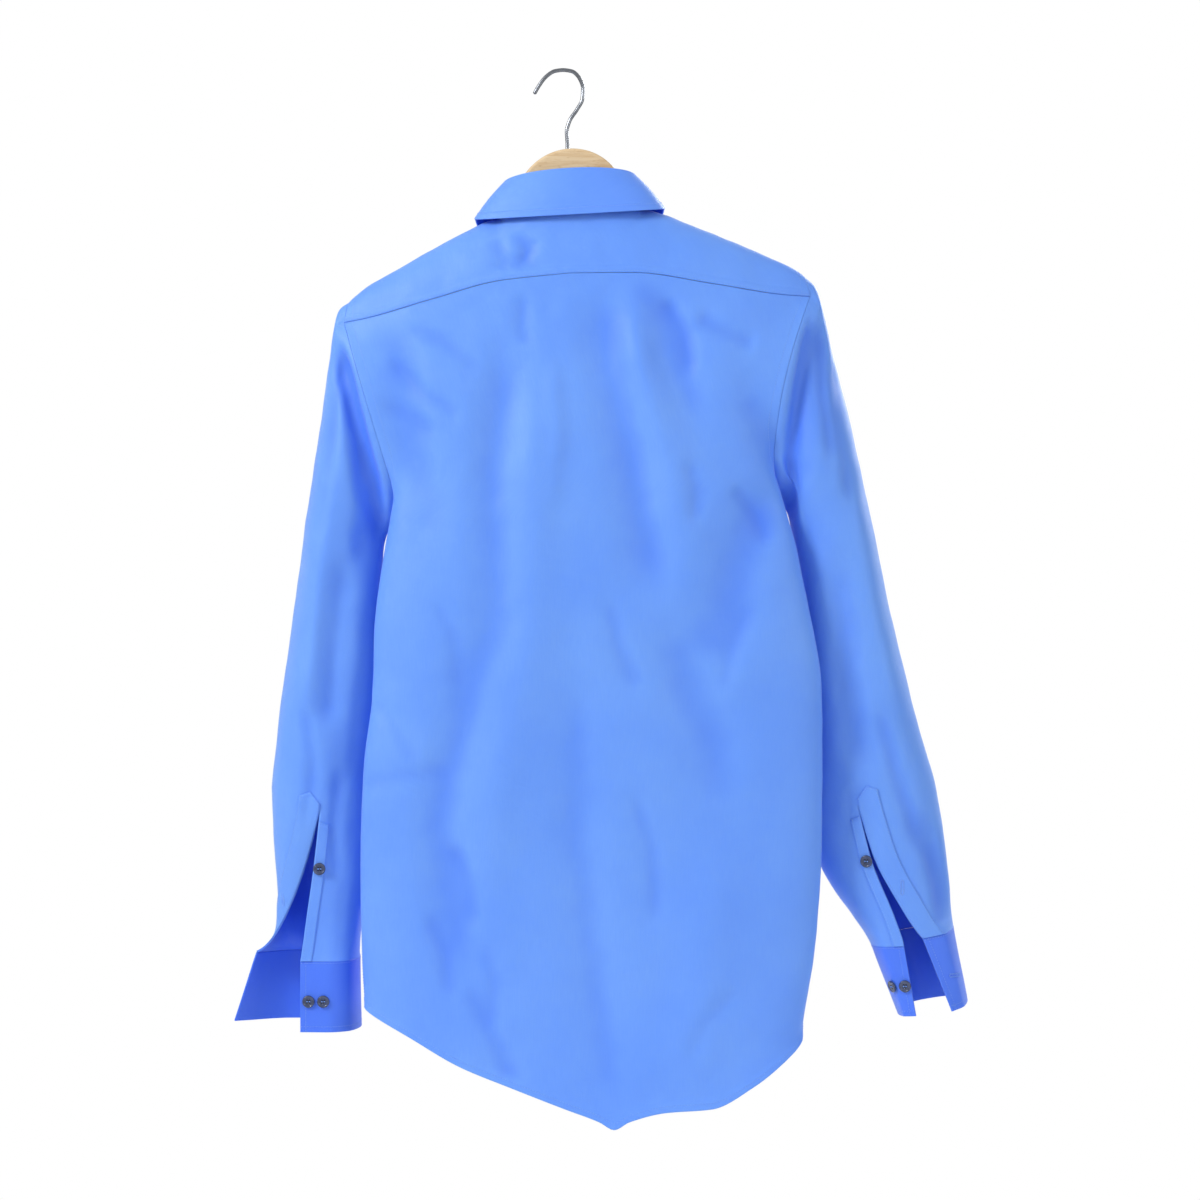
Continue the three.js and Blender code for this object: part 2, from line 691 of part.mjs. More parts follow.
// The cuffs lie open. Columns: place from the button end to the buttonhole end,
// then x, y and z of the top edge and of the bottom edge.
const CUFFS = {
  left: [
    [0, 237, -4, -801, 237, -4, -865],
    [0.11, 212, -4, -801, 212, -3, -865],
    [0.21, 193, -14, -801, 192, -14, -865],
    [0.34, 186, -42, -801, 185, -44, -865],
    [0.5, 191, -78, -801, 191, -80, -865],
    [0.63, 212, -96, -801, 214, -98, -865],
    [0.8, 250, -94, -801, 258, -97, -865],
    [0.92, 274, -82, -801, 287, -86, -865],
    [1, 284, -67, -800, 305, -71, -864],
  ],
  right: [
    [0, -308, -10, -788, -319, -14, -852],
    [0.08, -290, -14, -789, -309, -20, -853],
    [0.2, -281, -40, -790, -306, -44, -854],
    [0.36, -290, -78, -788, -312, -80, -852],
    [0.5, -318, -98, -782, -335, -98, -848],
    [0.62, -345, -84, -777, -358, -86, -843],
    [0.78, -357, -48, -773, -370, -50, -841],
    [0.92, -346, -16, -777, -364, -22, -844],
    [1, -325, -9, -781, -352, -10, -847],
  ],
};
const cuffPoint = (name, share, down) => {
  const at = (column) => read(CUFFS[name], column, share);
  return mix([at(1), at(2), at(3)], [at(4), at(5), at(6)], down);
};
const SLIT_ANGLE = { left: Math.PI / 2, right: (105 / 180) * Math.PI };
const SLIT_TOP = 0.735; // place of the slit's top end down the sleeve
const SLIT_ROW = 14;
const SLEEVE_TOP_GAP = 0.0012; // the seam gaps as shares of the sleeve's length
const SLEEVE_END_GAP = 0.0006;
const SLEEVE_FOLDS = [
  { side: 1, wide: 12, deep: -8, line: [[204, -235], [188, -300], [170, -380], [172, -460]] },
  { side: 1, wide: 9, deep: -5, line: [[196, -250], [184, -330], [176, -400]] },
  { side: 1, wide: 14, deep: 5, line: [[214, -330], [222, -450], [236, -600]] },
  { side: 1, wide: 12, deep: -6, line: [[196, -430], [206, -520], [214, -600]] },
  { side: 1, wide: 10, deep: -7, line: [[-228, -215], [-216, -280], [-204, -350]] },
  { side: 1, wide: 9, deep: -6, line: [[-236, -225], [-226, -300], [-216, -380]] },
  { side: 1, wide: 14, deep: -6, line: [[-246, -420], [-256, -540], [-270, -640]] },
  { side: 1, wide: 13, deep: 5, line: [[-262, -360], [-284, -480], [-310, -600]] },
  { side: 1, wide: 11, deep: -7, line: [[-322, -655], [-338, -710], [-346, -770]] },
  { side: -1, wide: 14, deep: -7, line: [[196, -300], [204, -400], [206, -480]] },
  { side: -1, wide: 14, deep: -7, line: [[214, -520], [224, -620], [236, -720]] },
  { side: -1, wide: 14, deep: -7, line: [[-228, -300], [-240, -400], [-246, -480]] },
  { side: -1, wide: 14, deep: -7, line: [[-262, -520], [-290, -640], [-306, -720]] },
];

// A sleeve's ring: the outer line at angle 0, the back at a quarter turn, the
// inner line at half a turn, and the front at three quarters.
function sleeveRing(name, place, angle) {
  const at = (column) => read(SLEEVES[name], column, place);
  const inward = (1 - Math.cos(angle)) / 2;
  const s = Math.sin(angle);
  const bulge = at(s > 0 ? BULGE_BACK : BULGE_FRONT) * (1 - at(TAPER) * inward);
  const x = lerp(at(OUT_X), at(IN_X), inward);
  const z = lerp(at(OUT_Z), at(IN_Z), inward);
  const power = lerp(1.3, 1, smooth(place / 0.3));
  const y = lerp(at(OUT_Y), at(IN_Y), inward) + Math.sign(s) * bulge * Math.abs(s) ** power;
  const fold = foldDepth(SLEEVE_FOLDS, Math.sign(s), x, z) * Math.sign(s);
  return [x, y + fold * smooth(Math.abs(s) * 1.4) * smooth(place / 0.05), z];
}

// The armhole's edge points in the sleeve's order, from the slit's column past
// the pit, the front and the shoulder tip and back to it, with their angles.
const SLIT_FROM = 3;
const panelNamed = (name) => walls.find((item) => item.name === name);
function armholeLoop(side) {
  const [back, yoke] = [panelNamed("back"), panelNamed("yoke")];
  const front = panelNamed(side > 0 ? "front_left" : "front_right");
  const end = (item, row) => item.grid[row][side > 0 ? 0 : item.grid[row].length - 1];
  const angleOf = (startZ, row) =>
    lerp(Math.acos(1 - (2 * (TIP_Z - startZ)) / (TIP_Z - PIT_Z)), Math.PI, row / ARMHOLE_ROWS);
  const loop = [];
  for (let i = 1; i <= ARMHOLE_ROWS; i += 1) {
    loop.push([end(back, i), angleOf(SEAM_END_Z, i)]);
  }
  for (let i = ARMHOLE_ROWS - 1; i >= 1; i -= 1) {
    loop.push([front.grid[i][0], 2 * Math.PI - angleOf(FRONT_SEAM_END_Z, i)]);
  }
  const from = 2 * Math.PI - angleOf(FRONT_SEAM_END_Z, 0);
  const to = 2 * Math.PI + angleOf(SEAM_END_Z, 0);
  for (let i = 0; i <= YOKE_ROWS; i += 1) {
    loop.push([end(yoke, i), lerp(from, to, i / YOKE_ROWS)]);
  }
  const again = loop.slice(0, SLIT_FROM).map(([p, a]) => [p, a + 2 * Math.PI]);
  return [...loop.slice(SLIT_FROM - 1), ...again];
}

function sleeveParts(name, side) {
  const loop = armholeLoop(side);
  const count = loop.length - 1;
  const slit = SLIT_ANGLE[name];
  const ringPoint = (place, column) => {
    const k = clamp(Math.floor(column), 0, count - 1);
    const t = column - k;
    const own = lerp(loop[k][1], loop[k + 1][1], t);
    const even = slit + (2 * Math.PI * column) / count;
    return sleeveRing(name, place, lerp(own, even, smooth(place / 0.3)));
  };
  const point = (place, column) => {
    const k = clamp(Math.floor(column), 0, count - 1);
    const edge = mix(loop[k][0], loop[k + 1][0], column - k);
    const away = minus(edge, ringPoint(0, column));
    let p = plus(ringPoint(Math.max(place, 0), column), away, 1 - smooth(place / 0.22));
    const open = clamp((place - SLIT_TOP) / (1 - SLIT_TOP), 0, 1.1) ** 1.2;
    if (open > 0) p = mix(p, cuffPoint(name, clamp(column / count, 0, 1), (place - 1) * 2), open);
    return p;
  };
  const places = [];
  for (let i = 0; i <= SLEEVE_ROWS; i += 1) {
    places.push(
      i <= SLIT_ROW
        ? SLIT_TOP * (i / SLIT_ROW) ** 1.15
        : lerp(SLIT_TOP, 1, (i - SLIT_ROW) / (SLEEVE_ROWS - SLIT_ROW)),
    );
  }
  places[0] = SLEEVE_TOP_GAP;
  places[SLEEVE_ROWS] -= SLEEVE_END_GAP;
  const columns = countTo(count);
  const around = (place, column) => {
    if (place > SLIT_TOP) return point(place, clamp(column, 0, count));
    return point(place, column < 0 ? column + count : column > count ? column - count : column);
  };
  const flip = side < 0;
  const cloth = { thick: CLOTH, color: COLORS.cloth, flip, joined: SLIT_ROW, family: "body" };
  wall(`sleeve_${name}`, panel(places, columns, around, flip), cloth);
  const cuffAt = (down, column) => cuffPoint(name, clamp(column / count, 0, 1), down);
  const cuffRows = [SEAM_GAP / 64, 0.33, 0.67, 1];
  wall(`cuff_${name}`, panel(cuffRows, columns, cuffAt, flip), {
    thick: BAND,
    color: COLORS.dense,
    flip,
    family: "body",
  });
}
sleeveParts("left", 1);
sleeveParts("right", -1);

// Collar: the stand leans in from the neckline to the fold line, and the leaf
// turns down over it.
const FOLD_HALF = 56;
function foldLine(beta) {
  const c = Math.cos(beta);
  const x = NECK_X + FOLD_HALF * Math.sin(beta);
  if (c > 0) return [x, lerp(-6, 17, c), lerp(-100, -91, c ** 0.7)];
  return [x, lerp(-6, -71, -c), lerp(-100, -172, (-c) ** 1.25)];
}
const LEAF_END = (172 / 180) * Math.PI;
const LEAF_HALF = 86;
const LEAF_POINT_X = 42; // how far the leaf's points are from the middle
function leafEdge(beta) {
  const c = Math.cos(beta);
  const sign = Math.sign(beta) || 1;
  if (c > 0) {
    const x = NECK_X + LEAF_HALF * Math.sin(beta);
    return [x, lerp(-8, 31, c ** 0.6), lerp(-125.5, -132, c ** 0.5)];
  }
  const t = c / Math.cos(LEAF_END);
  const x = NECK_X + sign * lerp(LEAF_HALF, LEAF_POINT_X, t ** 1.3);
  return [x, lerp(-8, -96, t ** 0.8), lerp(-125.5, -236, t ** 1.2)];
}
const collarUnder = (beta) => [0, beta < 0 ? UNDERLAP * smooth((-beta - 2.5) / 0.4) : 0, 0];
const span = (from, to, steps) => countTo(steps).map((i) => lerp(from, to, i / steps));
const standBetas = [
  ...span(Math.PI + LAP_BETA, CORNER_BETA, FRONT_NECK_COLUMNS),
  ...span(CORNER_BETA, -CORNER_BETA, NECK_COLUMNS).slice(1),
  ...span(-CORNER_BETA, -Math.PI - LAP_BETA, FRONT_NECK_COLUMNS).slice(1),
];
const STAND_HIGH = 33;
const STAND_SEAT = 2.2; // the stand's distance from the neckline, along its own slope
const standAt = (down, beta) => {
  const bottom = neckline(beta);
  const top = foldLine(beta);
  const lean = plus(mix(top, bottom, down), collarUnder(beta));
  return tilt(lean);
};
wall("collar_stand", panel([0, 0.5, 1 - STAND_SEAT / STAND_HIGH], standBetas, standAt, true), {
  thick: BAND,
  color: COLORS.cloth,
  family: "body",
});
const LEAF_COLUMNS = 26;
const leafBetas = countTo(LEAF_COLUMNS).map((i) => lerp(LEAF_END, -LEAF_END, i / LEAF_COLUMNS));
const CREST = 0.12; // share of the leaf that rolls over the stand's top
const leafAt = (down, beta) => {
  const fold = foldLine(beta);
  const edge = leafEdge(beta);
  const out = unit([edge[0] - fold[0], edge[1] - fold[1], 0]);
  const crest = plus(fold, [0, 0, 2.6]);
  const shoulder = plus(plus(fold, out, 4.9), [0, 0, 1.3]);
  const share = (down - CREST) / (1 - CREST);
  const p = down < CREST ? mix(crest, shoulder, down / CREST) : mix(shoulder, edge, share);
  const belly = down < CREST ? 0 : 2 * Math.sin(Math.PI * share);
  return tilt(plus(p, out, belly));
};
wall("collar_leaf", panel([0, CREST, 0.4, 0.7, 1], leafBetas, leafAt, true), {
  thick: BAND,
  color: COLORS.cloth,
});

shareSeams();

// A strip that lies on a panel: its points are the panel's own, moved out.
function onPanel(source, row, column, out) {
  const { grid, normals } = source;
  const i = clamp(Math.floor(row), 0, grid.length - 2);
  const j = clamp(Math.floor(column), 0, grid[0].length - 2);
  const [s, t] = [row - i, column - j];
  const blend = (g) => mix(mix(g[i][j], g[i][j + 1], t), mix(g[i + 1][j], g[i + 1][j + 1], t), s);
  const normal = unit(blend(normals));
  return { point: plus(blend(grid), normal, out), normal };
}
function strip(name, source, rows, columns, thick, flip) {
  const out = LAID_GAP + thick;
  const laid = rows.map((row) => columns.map((column) => onPanel(source, row, column(row), out)));
  wall(
    name,
    {
      grid: laid.map((line) => line.map((item) => item.point)),
      normals: laid.map((line) => line.map((item) => item.normal)),
    },
    { thick, color: COLORS.cloth, flip },
  );
}
// The button band down the left front.
const leftFront = panelNamed("front_left");
const frontGrid = leftFront.grid;
const acrossMm = (row, from, to) => {
  const i = Math.min(Math.floor(row), frontGrid.length - 1);
  return size(minus(frontGrid[i][to], frontGrid[i][from]));
};
const bandEdge = (row) => {
  const last = FRONT_COLUMNS;
  const one = acrossMm(row, last - 1, last);
  if (one >= PLACKET_WIDTH) return last - PLACKET_WIDTH / one;
  return last - 1 - (PLACKET_WIDTH - one) / acrossMm(row, last - 2, last - 1);
};
const bandMiddle = (row) =>
  bandEdge(row) < FRONT_COLUMNS - 1.05 ? FRONT_COLUMNS - 1 : (bandEdge(row) + FRONT_COLUMNS) / 2;
strip(
  "front_placket",
  leftFront,
  countTo(frontRows.length - 1),
  [(row) => bandEdge(row), bandMiddle, () => FRONT_COLUMNS - 0.02],
  STRIP,
  true,
);

// The strips on the sleeves' slits: a wide upper one and a narrow under one.
const UPPER_STRIP = 21;
const UNDER_STRIP = 10;
for (const [name, flip] of [["left", false], ["right", true]]) {
  const sleeve = panelNamed(`sleeve_${name}`);
  const last = sleeve.grid[0].length - 1;
  const columnsFor = (row, width, from, step) => {
    const i = Math.min(Math.round(row), sleeve.grid.length - 1);
    let [left, at] = [width, from];
    while (left > 0) {
      const one = size(minus(sleeve.grid[i][at + step], sleeve.grid[i][at]));
      if (one >= left) return at + (step * left) / one;
      left -= one;
      at += step;
    }
    return at;
  };
  const rows = span(SLIT_ROW - 1, SLEEVE_ROWS - 1, SLEEVE_ROWS - SLIT_ROW).concat(SLEEVE_ROWS - 0.05);
  const start = (row) => columnsFor(row, UPPER_STRIP, last, -1);
  const second = (row) => Math.max(start(row) + 0.1, last - 2);
  const third = (row) => Math.max(second(row) + 0.1, last - 1);
  strip(`placket_${name}_upper`, sleeve, rows, [start, second, third, () => last - 0.03], STRIP, flip);
  const lowRows = [SLIT_ROW + 0.6, ...span(SLIT_ROW + 1, SLEEVE_ROWS - 1, 4), SLEEVE_ROWS - 0.05];
  const under = (share) => (row) => lerp(0.03, columnsFor(row, UNDER_STRIP, 0, 1), share);
  strip(`placket_${name}_under`, sleeve, lowRows, [under(0), under(1)], STRIP, flip);
}

const shirt = new THREE.Group();
for (const item of walls) shirt.add(closeWall(item));

// Buttons: shallow discs with a rim, seated on what they are sewn to.
const BUTTON_PROFILE = [
  [0, 0],
  [0.86, 0],
  [1, 0.5],
  [0.88, 1],
  [0.68, 0.8],
  [0, 0.8],
];
const BUTTON_SIDES = 12;
function button(name, source, row, column, over) {
  const { point, normal } = onPanel(source, row, column, over);
  const profile = BUTTON_PROFILE.map(
    ([r, h]) => new THREE.Vector2(r * BUTTON_RADIUS, h * BUTTON_THICK),
  );
  const geometry = new THREE.LatheGeometry(profile, BUTTON_SIDES).rotateX(Math.PI / 2);
  const mesh = new THREE.Mesh(
    geometry,
    new THREE.MeshStandardMaterial({ color: COLORS.button, roughness: 0.3 }),
  );
  mesh.name = name;
  mesh.position.set(...point);
  mesh.quaternion.setFromUnitVectors(new THREE.Vector3(0, 0, 1), new THREE.Vector3(...normal));
  shirt.add(mesh);
}
const SEAT = 0.5;
const band = panelNamed("front_placket");
const FIRST_BUTTON_Z = -265;
const BUTTON_STEP = 95;
const rowAtHeight = (grid, z) => {
  const i = grid.findIndex((line) => line[1][2] < z) - 1;
  return i + (grid[i][1][2] - z) / (grid[i][1][2] - grid[i + 1][1][2]);
};
for (const i of countTo(5)) {
  const row = rowAtHeight(band.grid, FIRST_BUTTON_Z - i * BUTTON_STEP);
  button(`front_button_${i + 1}`, band, row, 1, SEAT);
}
button("collar_button", panelNamed("collar_stand"), 1.3, 1.1, SEAT);
for (const [name, columns] of [["left", [0.75, 2.1]], ["right", [0.6, 2.1]]]) {
  const sleeve = panelNamed(`placket_${name}_under`);
  button(`sleeve_button_${name}`, sleeve, 1.6, 0.5, SEAT);
  columns.forEach((column, i) =>
    button(`cuff_button_${name}_${i + 1}`, panelNamed(`cuff_${name}`), 1.6, column, SEAT),
  );
}

// Hanger: a flat board with a round neck hump, its arms just under the yoke.
const BOARD = 12;
const BOARD_BEVEL = 2.4;
const HUMP_RADIUS = 50;
const HUMP_TOP = -69;
const ARM_END = 200;
const ARM_DROP = 3.3; // from the outside of the yoke down to the board
const ARM_DEPTH = [[0, 82], [50, 42], [110, 30], [203, 18]];
const armTop = (d) =>
  read(RIDGE, 1, d) - ARM_DROP - 3.5 * (d / ARM_END) ** 4 - 2.6 * smooth((100 - d) / 26);
function boardOutline() {
  const upper = [];
  for (let i = 0; i <= 8; i += 1) {
    const angle = (i / 8) * 1.5;
    upper.push([HUMP_RADIUS * Math.sin(angle), HUMP_TOP - HUMP_RADIUS * (1 - Math.cos(angle))]);
  }
  upper.push([51.5, -124], [57, -130.5], [64, -132.5]);
  for (const d of [72, 84, 104, 126, 150, 172, 188, 195]) upper.push([d, armTop(d)]);
  upper.push([ARM_END, armTop(ARM_END) - 6], [ARM_END, armTop(ARM_END) - 13]);
  const lower = [];
  for (const d of [194, 170, 135, 100, 65, 30]) lower.push([d, armTop(d) - read(ARM_DEPTH, 1, d)]);
  const right = [...upper, ...lower, [0, -172]];
  const left = right.slice(1, -1).reverse().map(([x, z]) => [-x, z]);
  return [...right, ...left];
}
const wasm = await Module();
wasm.setup();
function solidOf(geometry) {
  const bare = geometry.clone();
  for (const key of Object.keys(bare.attributes)) if (key !== "position") bare.deleteAttribute(key);
  const merged = mergeVertices(bare, 1e-4);
  return new wasm.Manifold(
    new wasm.Mesh({
      numProp: 3,
      vertProperties: merged.attributes.position.array,
      triVerts: new Uint32Array(merged.index.array),
    }),
  );
}
function hangerBar() {
  const shape = new THREE.Shape(boardOutline().map(([x, z]) => new THREE.Vector2(x, z)));
  const board = new THREE.ExtrudeGeometry(shape, {
    depth: BOARD - 2 * BOARD_BEVEL,
    bevelThickness: BOARD_BEVEL,
    bevelSize: BOARD_BEVEL,
    bevelOffset: -BOARD_BEVEL,
    bevelSegments: 1,
  });
  board.translate(0, 0, -BOARD / 2 + BOARD_BEVEL).rotateX(Math.PI / 2);
  const points = board.attributes.position;
  for (let i = 0; i < points.count; i += 1) {
    const x = points.getX(i);
    points.setXYZ(i, ...tilt([x + middleAt(x), points.getY(i), points.getZ(i)]));
  }
  const hole = new THREE.CylinderGeometry(WIRE / 2 + SEAM_GAP, WIRE / 2 + SEAM_GAP, 2 * STEM_DEEP, 10);
  hole.rotateX(Math.PI / 2).translate(STEM_X, 0, HUMP_TOP);
  const cut = solidOf(board).subtract(solidOf(hole)).getMesh();
  const geometry = new THREE.BufferGeometry();
  geometry.setAttribute("position", new THREE.BufferAttribute(cut.vertProperties, 3));
  geometry.setIndex([...cut.triVerts]);
  geometry.computeVertexNormals();
  const mesh = new THREE.Mesh(
    geometry,
    new THREE.MeshStandardMaterial({ color: COLORS.wood, roughness: 0.55 }),
  );
  mesh.name = "hanger_bar";
  return mesh;
}

// The wire hook: its stem stands in the board, bends out and turns over the rod.
const WIRE = 3.5;
const STEM_X = -4;
const STEM_DEEP = 12;
const WIRE_SIDES = 8;
const WIRE_STEPS = 44;
const HOOK_PATH = [
  [26, -20],
  [22, -13],
  [15, -4],
  [7, 0.9],
  [0, WIRE / 2],
  [-8, 0.6],
  [-15, -6],
  [-18, -15],
  [-17.5, -24],
  [-12.5, -34],
  [-6, -44],
  [-3.4, -54],
  [STEM_X, -66],
  [STEM_X, HUMP_TOP - STEM_DEEP + 1],
];
function hangerHook() {
  const path = new THREE.CatmullRomCurve3(
    HOOK_PATH.map(([x, z]) => new THREE.Vector3(x, 0, z)),
    false,
    "centripetal",
  );
  const section = new THREE.Shape();
  for (let i = 0; i < WIRE_SIDES; i += 1) {
    const angle = (2 * Math.PI * i) / WIRE_SIDES;
    const [x, y] = [(WIRE / 2) * Math.cos(angle), (WIRE / 2) * Math.sin(angle)];
    if (i === 0) section.moveTo(x, y);
    else section.lineTo(x, y);
  }
  const geometry = new THREE.ExtrudeGeometry(section, { steps: WIRE_STEPS, extrudePath: path });
  const mesh = new THREE.Mesh(
    geometry,
    new THREE.MeshStandardMaterial({ color: COLORS.steel, metalness: 1, roughness: 0.3 }),
  );
  mesh.name = "hanger_hook";
  return mesh;
}
const hanger = new THREE.Group();
hanger.add(hangerBar(), hangerHook());
shirt.add(hanger);

export default shirt;
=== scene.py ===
"""A blue long sleeve dress shirt on a flat wooden hanger, dressed and lit.

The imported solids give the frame: metres, +Z up, the shirt's left at +X and its back at +Y,
with the origin under the bend of the hanger's hook. The shapes here are worked out in
millimetres from the same sections as the solids and are turned to metres as they are made.
"""

import logging
import math
from dataclasses import dataclass, field
from enum import Enum
from typing import Callable, Sequence

import bmesh
import bpy
import numpy as np
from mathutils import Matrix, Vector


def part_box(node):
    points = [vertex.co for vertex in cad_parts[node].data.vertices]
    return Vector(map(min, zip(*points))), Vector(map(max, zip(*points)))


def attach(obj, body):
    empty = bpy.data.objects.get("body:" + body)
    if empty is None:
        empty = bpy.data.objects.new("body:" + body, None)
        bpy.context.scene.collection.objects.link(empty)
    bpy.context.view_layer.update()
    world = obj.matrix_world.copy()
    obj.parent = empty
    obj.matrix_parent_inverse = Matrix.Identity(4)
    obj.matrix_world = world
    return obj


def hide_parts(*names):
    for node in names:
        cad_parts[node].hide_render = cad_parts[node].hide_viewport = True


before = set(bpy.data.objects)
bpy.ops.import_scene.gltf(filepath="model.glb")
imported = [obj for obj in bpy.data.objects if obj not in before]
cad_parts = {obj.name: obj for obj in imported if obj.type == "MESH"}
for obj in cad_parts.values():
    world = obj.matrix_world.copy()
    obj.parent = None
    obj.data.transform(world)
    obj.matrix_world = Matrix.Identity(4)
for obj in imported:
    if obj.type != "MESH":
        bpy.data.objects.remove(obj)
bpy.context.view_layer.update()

log = logging.getLogger("shirt")
Array = np.ndarray
Socket = bpy.types.NodeSocket
MM = 0.001
FINE = 6  # each interval of the solids' grids is cut into this many

# The shirt's driving sizes, in mm.
NECK_X = -6.0  # middle of the collar
SHOULDER_X = -13.0  # middle between the shoulder tips
TIP = 212.0  # half the shoulder width
TIP_Z = -205.0  # height of the shoulder tips
PIT_Z = -388.0  # height of the armpits
PIT_Y = -20.0  # how far to the front they lie
SEAM_END_Z = -215.0  # where the back yoke seam meets the armhole
FRONT_SEAM_END_Z = -240.0  # where the front one does
HANG_TILT = 0.056  # the shoulders slope, in mm a mm
TILT_TOP = -400.0  # the slope fades from here
TILT_END = -800.0  # and ends here
NECK_HALF = 66.0  # the neckline's reach to each side
NECK_CORNER = 57.0  # where it meets the front yoke seams, from the neck's middle
NECK_LOW = (-76.0, -201.0)  # y and z of its lowest point, in front
CORNER_BETA = math.radians(121)  # that corner's angle round the neck, from behind
FLANK_TUCK = 26.0  # how far the flanks draw in at most
FLANK_START = 12.0  # the y at which they start to
FLANK_SOFT = 45.0  # and the depth over which they do
EDGE_ROOM = 1.02  # a half row's reach, as a share of its table's
NEST_TOP = -290.0  # from here to the armpits, cut rows turn into rings
EDGE_POWER = 2  # how the bend to the armhole grows along a row
CLOSING = 3  # how cut rows close up towards the armhole
HALF_SAMPLES = 24
ARMHOLE_BACK = 40.0
ARMHOLE_FRONT = 57.0
TOP_FADE = 0.22  # share of a panel over which its seam's shape fades
FRONT_OVERLAP = 17.0  # how far each front passes the middle
FRONT_RUN = 235.0  # what a front measures from side seam to middle
UNDERLAP = 2.6  # how far the right front lies behind the left one
SHOULDER_COLUMNS = 8
NECK_COLUMNS = 10
FRONT_NECK_COLUMNS = 5
ARMHOLE_ROWS = 7
SKIRT_ROWS = 14
YOKE_ROWS = 8
BACK_COLUMNS = 2 * SHOULDER_COLUMNS + NECK_COLUMNS
FRONT_COLUMNS = SHOULDER_COLUMNS + FRONT_NECK_COLUMNS
LAP_BETA = FRONT_OVERLAP / NECK_HALF

COARSE_SIZE, COARSE_DEEP = 46, 0.5  # wave length and depth of the cloth's unevenness
SMALL_SIZE, SMALL_DEEP = 17, 0.22
SEWN_HOLD = 14.0  # how far from a seam the unevenness starts
SOFTEN_PASSES = 20
SOFTEN_HOLD = 12.0  # how far from an edge the softening starts
SEEDS = {"back": 11, "yoke": 23, "front": 37, "sleeve": 53, "collar": 71, "cuff": 91}

CLOTH_THICK = 0.7
BAND_THICK = 1.6  # collar and cuffs, with their interlining
STRIP_THICK = 0.8
STRIP_LIFT = 0.25  # how far a strip lies off the cloth under it
SEAM = 0.15  # half the width of the dark line between two sewn pieces

# Sections of the body. Columns: z, left edge, right edge, y of the back's middle, y of the
# front's middle, x of the back's middle, how far the side seams have turned round.
BODY = np.array([
    [-181, 199, -225, 31, -70, -6, 0],
    [-250, 190, -214, 36, -86, -8, 0],
    [-320, 172, -203, 38, -92, -12, 0],
    [-388, 158, -200, 38, -92, -20, 0],
    [-440, 168, -214, 37, -90, -23, -3],
    [-493, 174, -225, 36, -88, -25, -7],
    [-556, 176, -237, 34, -85, -30, -11],
    [-620, 184, -238, 33, -83, -27, -15],
    [-700, 186, -238, 32, -81, -26, -19],
    [-798, 183, -230, 34, -79, -24, -24],
    [-860, 178, -218, 35, -78, -20, -27],
    [-946, 172, -206, 36, -76, -17, -29],
], float)
LEFT, RIGHT, BACK_Y, FRONT_Y, MIDDLE, TURN = range(1, 7)

# The hems. Columns: place along the hem, z.
BACK_HEM = np.array([
    [0, -838], [0.1, -863], [0.2, -890], [0.3, -909], [0.4, -927], [0.47, -939], [0.5, -946],
    [0.53, -939], [0.6, -931], [0.69, -928], [0.77, -909], [0.85, -880], [0.93, -847], [1, -838],
], float)
FRONT_HEM = np.array([[0, -838], [0.2, -846], [0.45, -872], [0.7, -893], [1, -900]], float)

# The shoulder line. Columns: distance from the middle, z.
RIDGE = np.array([
    [0, -96], [25, -100.5], [47, -114], [66, -124], [98, -138],
    [137, -157], [176, -176], [197, -188], [212, -204],
], float)
# The yoke's two seams. Columns: distance from the middle, y, z.
BACK_SEAM = np.array([
    [0, 31, -184], [60, 30, -187], [125, 26, -200], [190, 15, -213], [212, 8, SEAM_END_Z],
], float)
FRONT_SEAM = np.array([
    [0, -40, -132], [57, -42, -157.6], [110, -46, -186], [160, -48, -214],
    [206, -46, FRONT_SEAM_END_Z],
], float)
YOKE_BACK_BEND = math.radians(85)
YOKE_FRONT_BEND = math.radians(65)
NECK_BACK_PLACE = 0.53


@dataclass(frozen=True)
class Fold:
    """A soft groove (negative depth) or ridge along a line of points (x, z), in mm."""

    side: int
    wide: float
    deep: float
    line: tuple[tuple[float, float], ...]


BODY_FOLDS = (
    Fold(1, 13, -9, ((-52, -188), (-84, -210), (-92, -232), (-106, -275), (-128, -330))),
    Fold(1, 17, -10, ((-30, -200), (-42, -236), (-52, -296), (-62, -345), (-76, -430),
                      (-92, -492))),
    Fold(1, 18, -8, ((-92, -492), (-112, -556), (-134, -602), (-150, -680))),
    Fold(1, 18, 6, ((-62, -215), (-76, -290), (-96, -380), (-118, -450))),
    Fold(1, 17, -9, ((40, -222), (52, -296), (60, -384), (56, -445), (56, -502), (80, -552))),
    Fold(1, 15, -10, ((56, -502), (80, -552), (96, -615), (112, -678), (100, -730),
                      (94, -775), (86, -830))),
    Fold(1, 20, 5, ((24, -240), (28, -330), (30, -450), (40, -560), (60, -650), (66, -760))),
    Fold(1, 20, -10, ((-192, -382), (-168, -418), (-146, -494), (-120, -530))),
    Fold(1, 14, -7, ((-160, -290), (-176, -320), (-194, -360))),
    Fold(1, 16, -7, ((158, -220), (146, -262), (140, -310), (124, -370), (112, -440))),
    Fold(1, 14, -6, ((-12, -440), (-12, -680), (-22, -750), (-36, -860), (-52, -946))),
    Fold(1, 22, 5, ((-150, -700), (-130, -780), (-110, -920))),
    Fold(-1, 17, -9, ((120, -300), (104, -380), (96, -480), (110, -600), (104, -730))),
    Fold(-1, 18, -8, ((-140, -290), (-122, -400), (-112, -520), (-124, -640), (-116, -800))),
    Fold(-1, 20, 6, ((70, -250), (62, -400), (70, -560), (64, -760))),
    Fold(-1, 16, -7, ((-84, -240), (-76, -360), (-84, -470))),
)
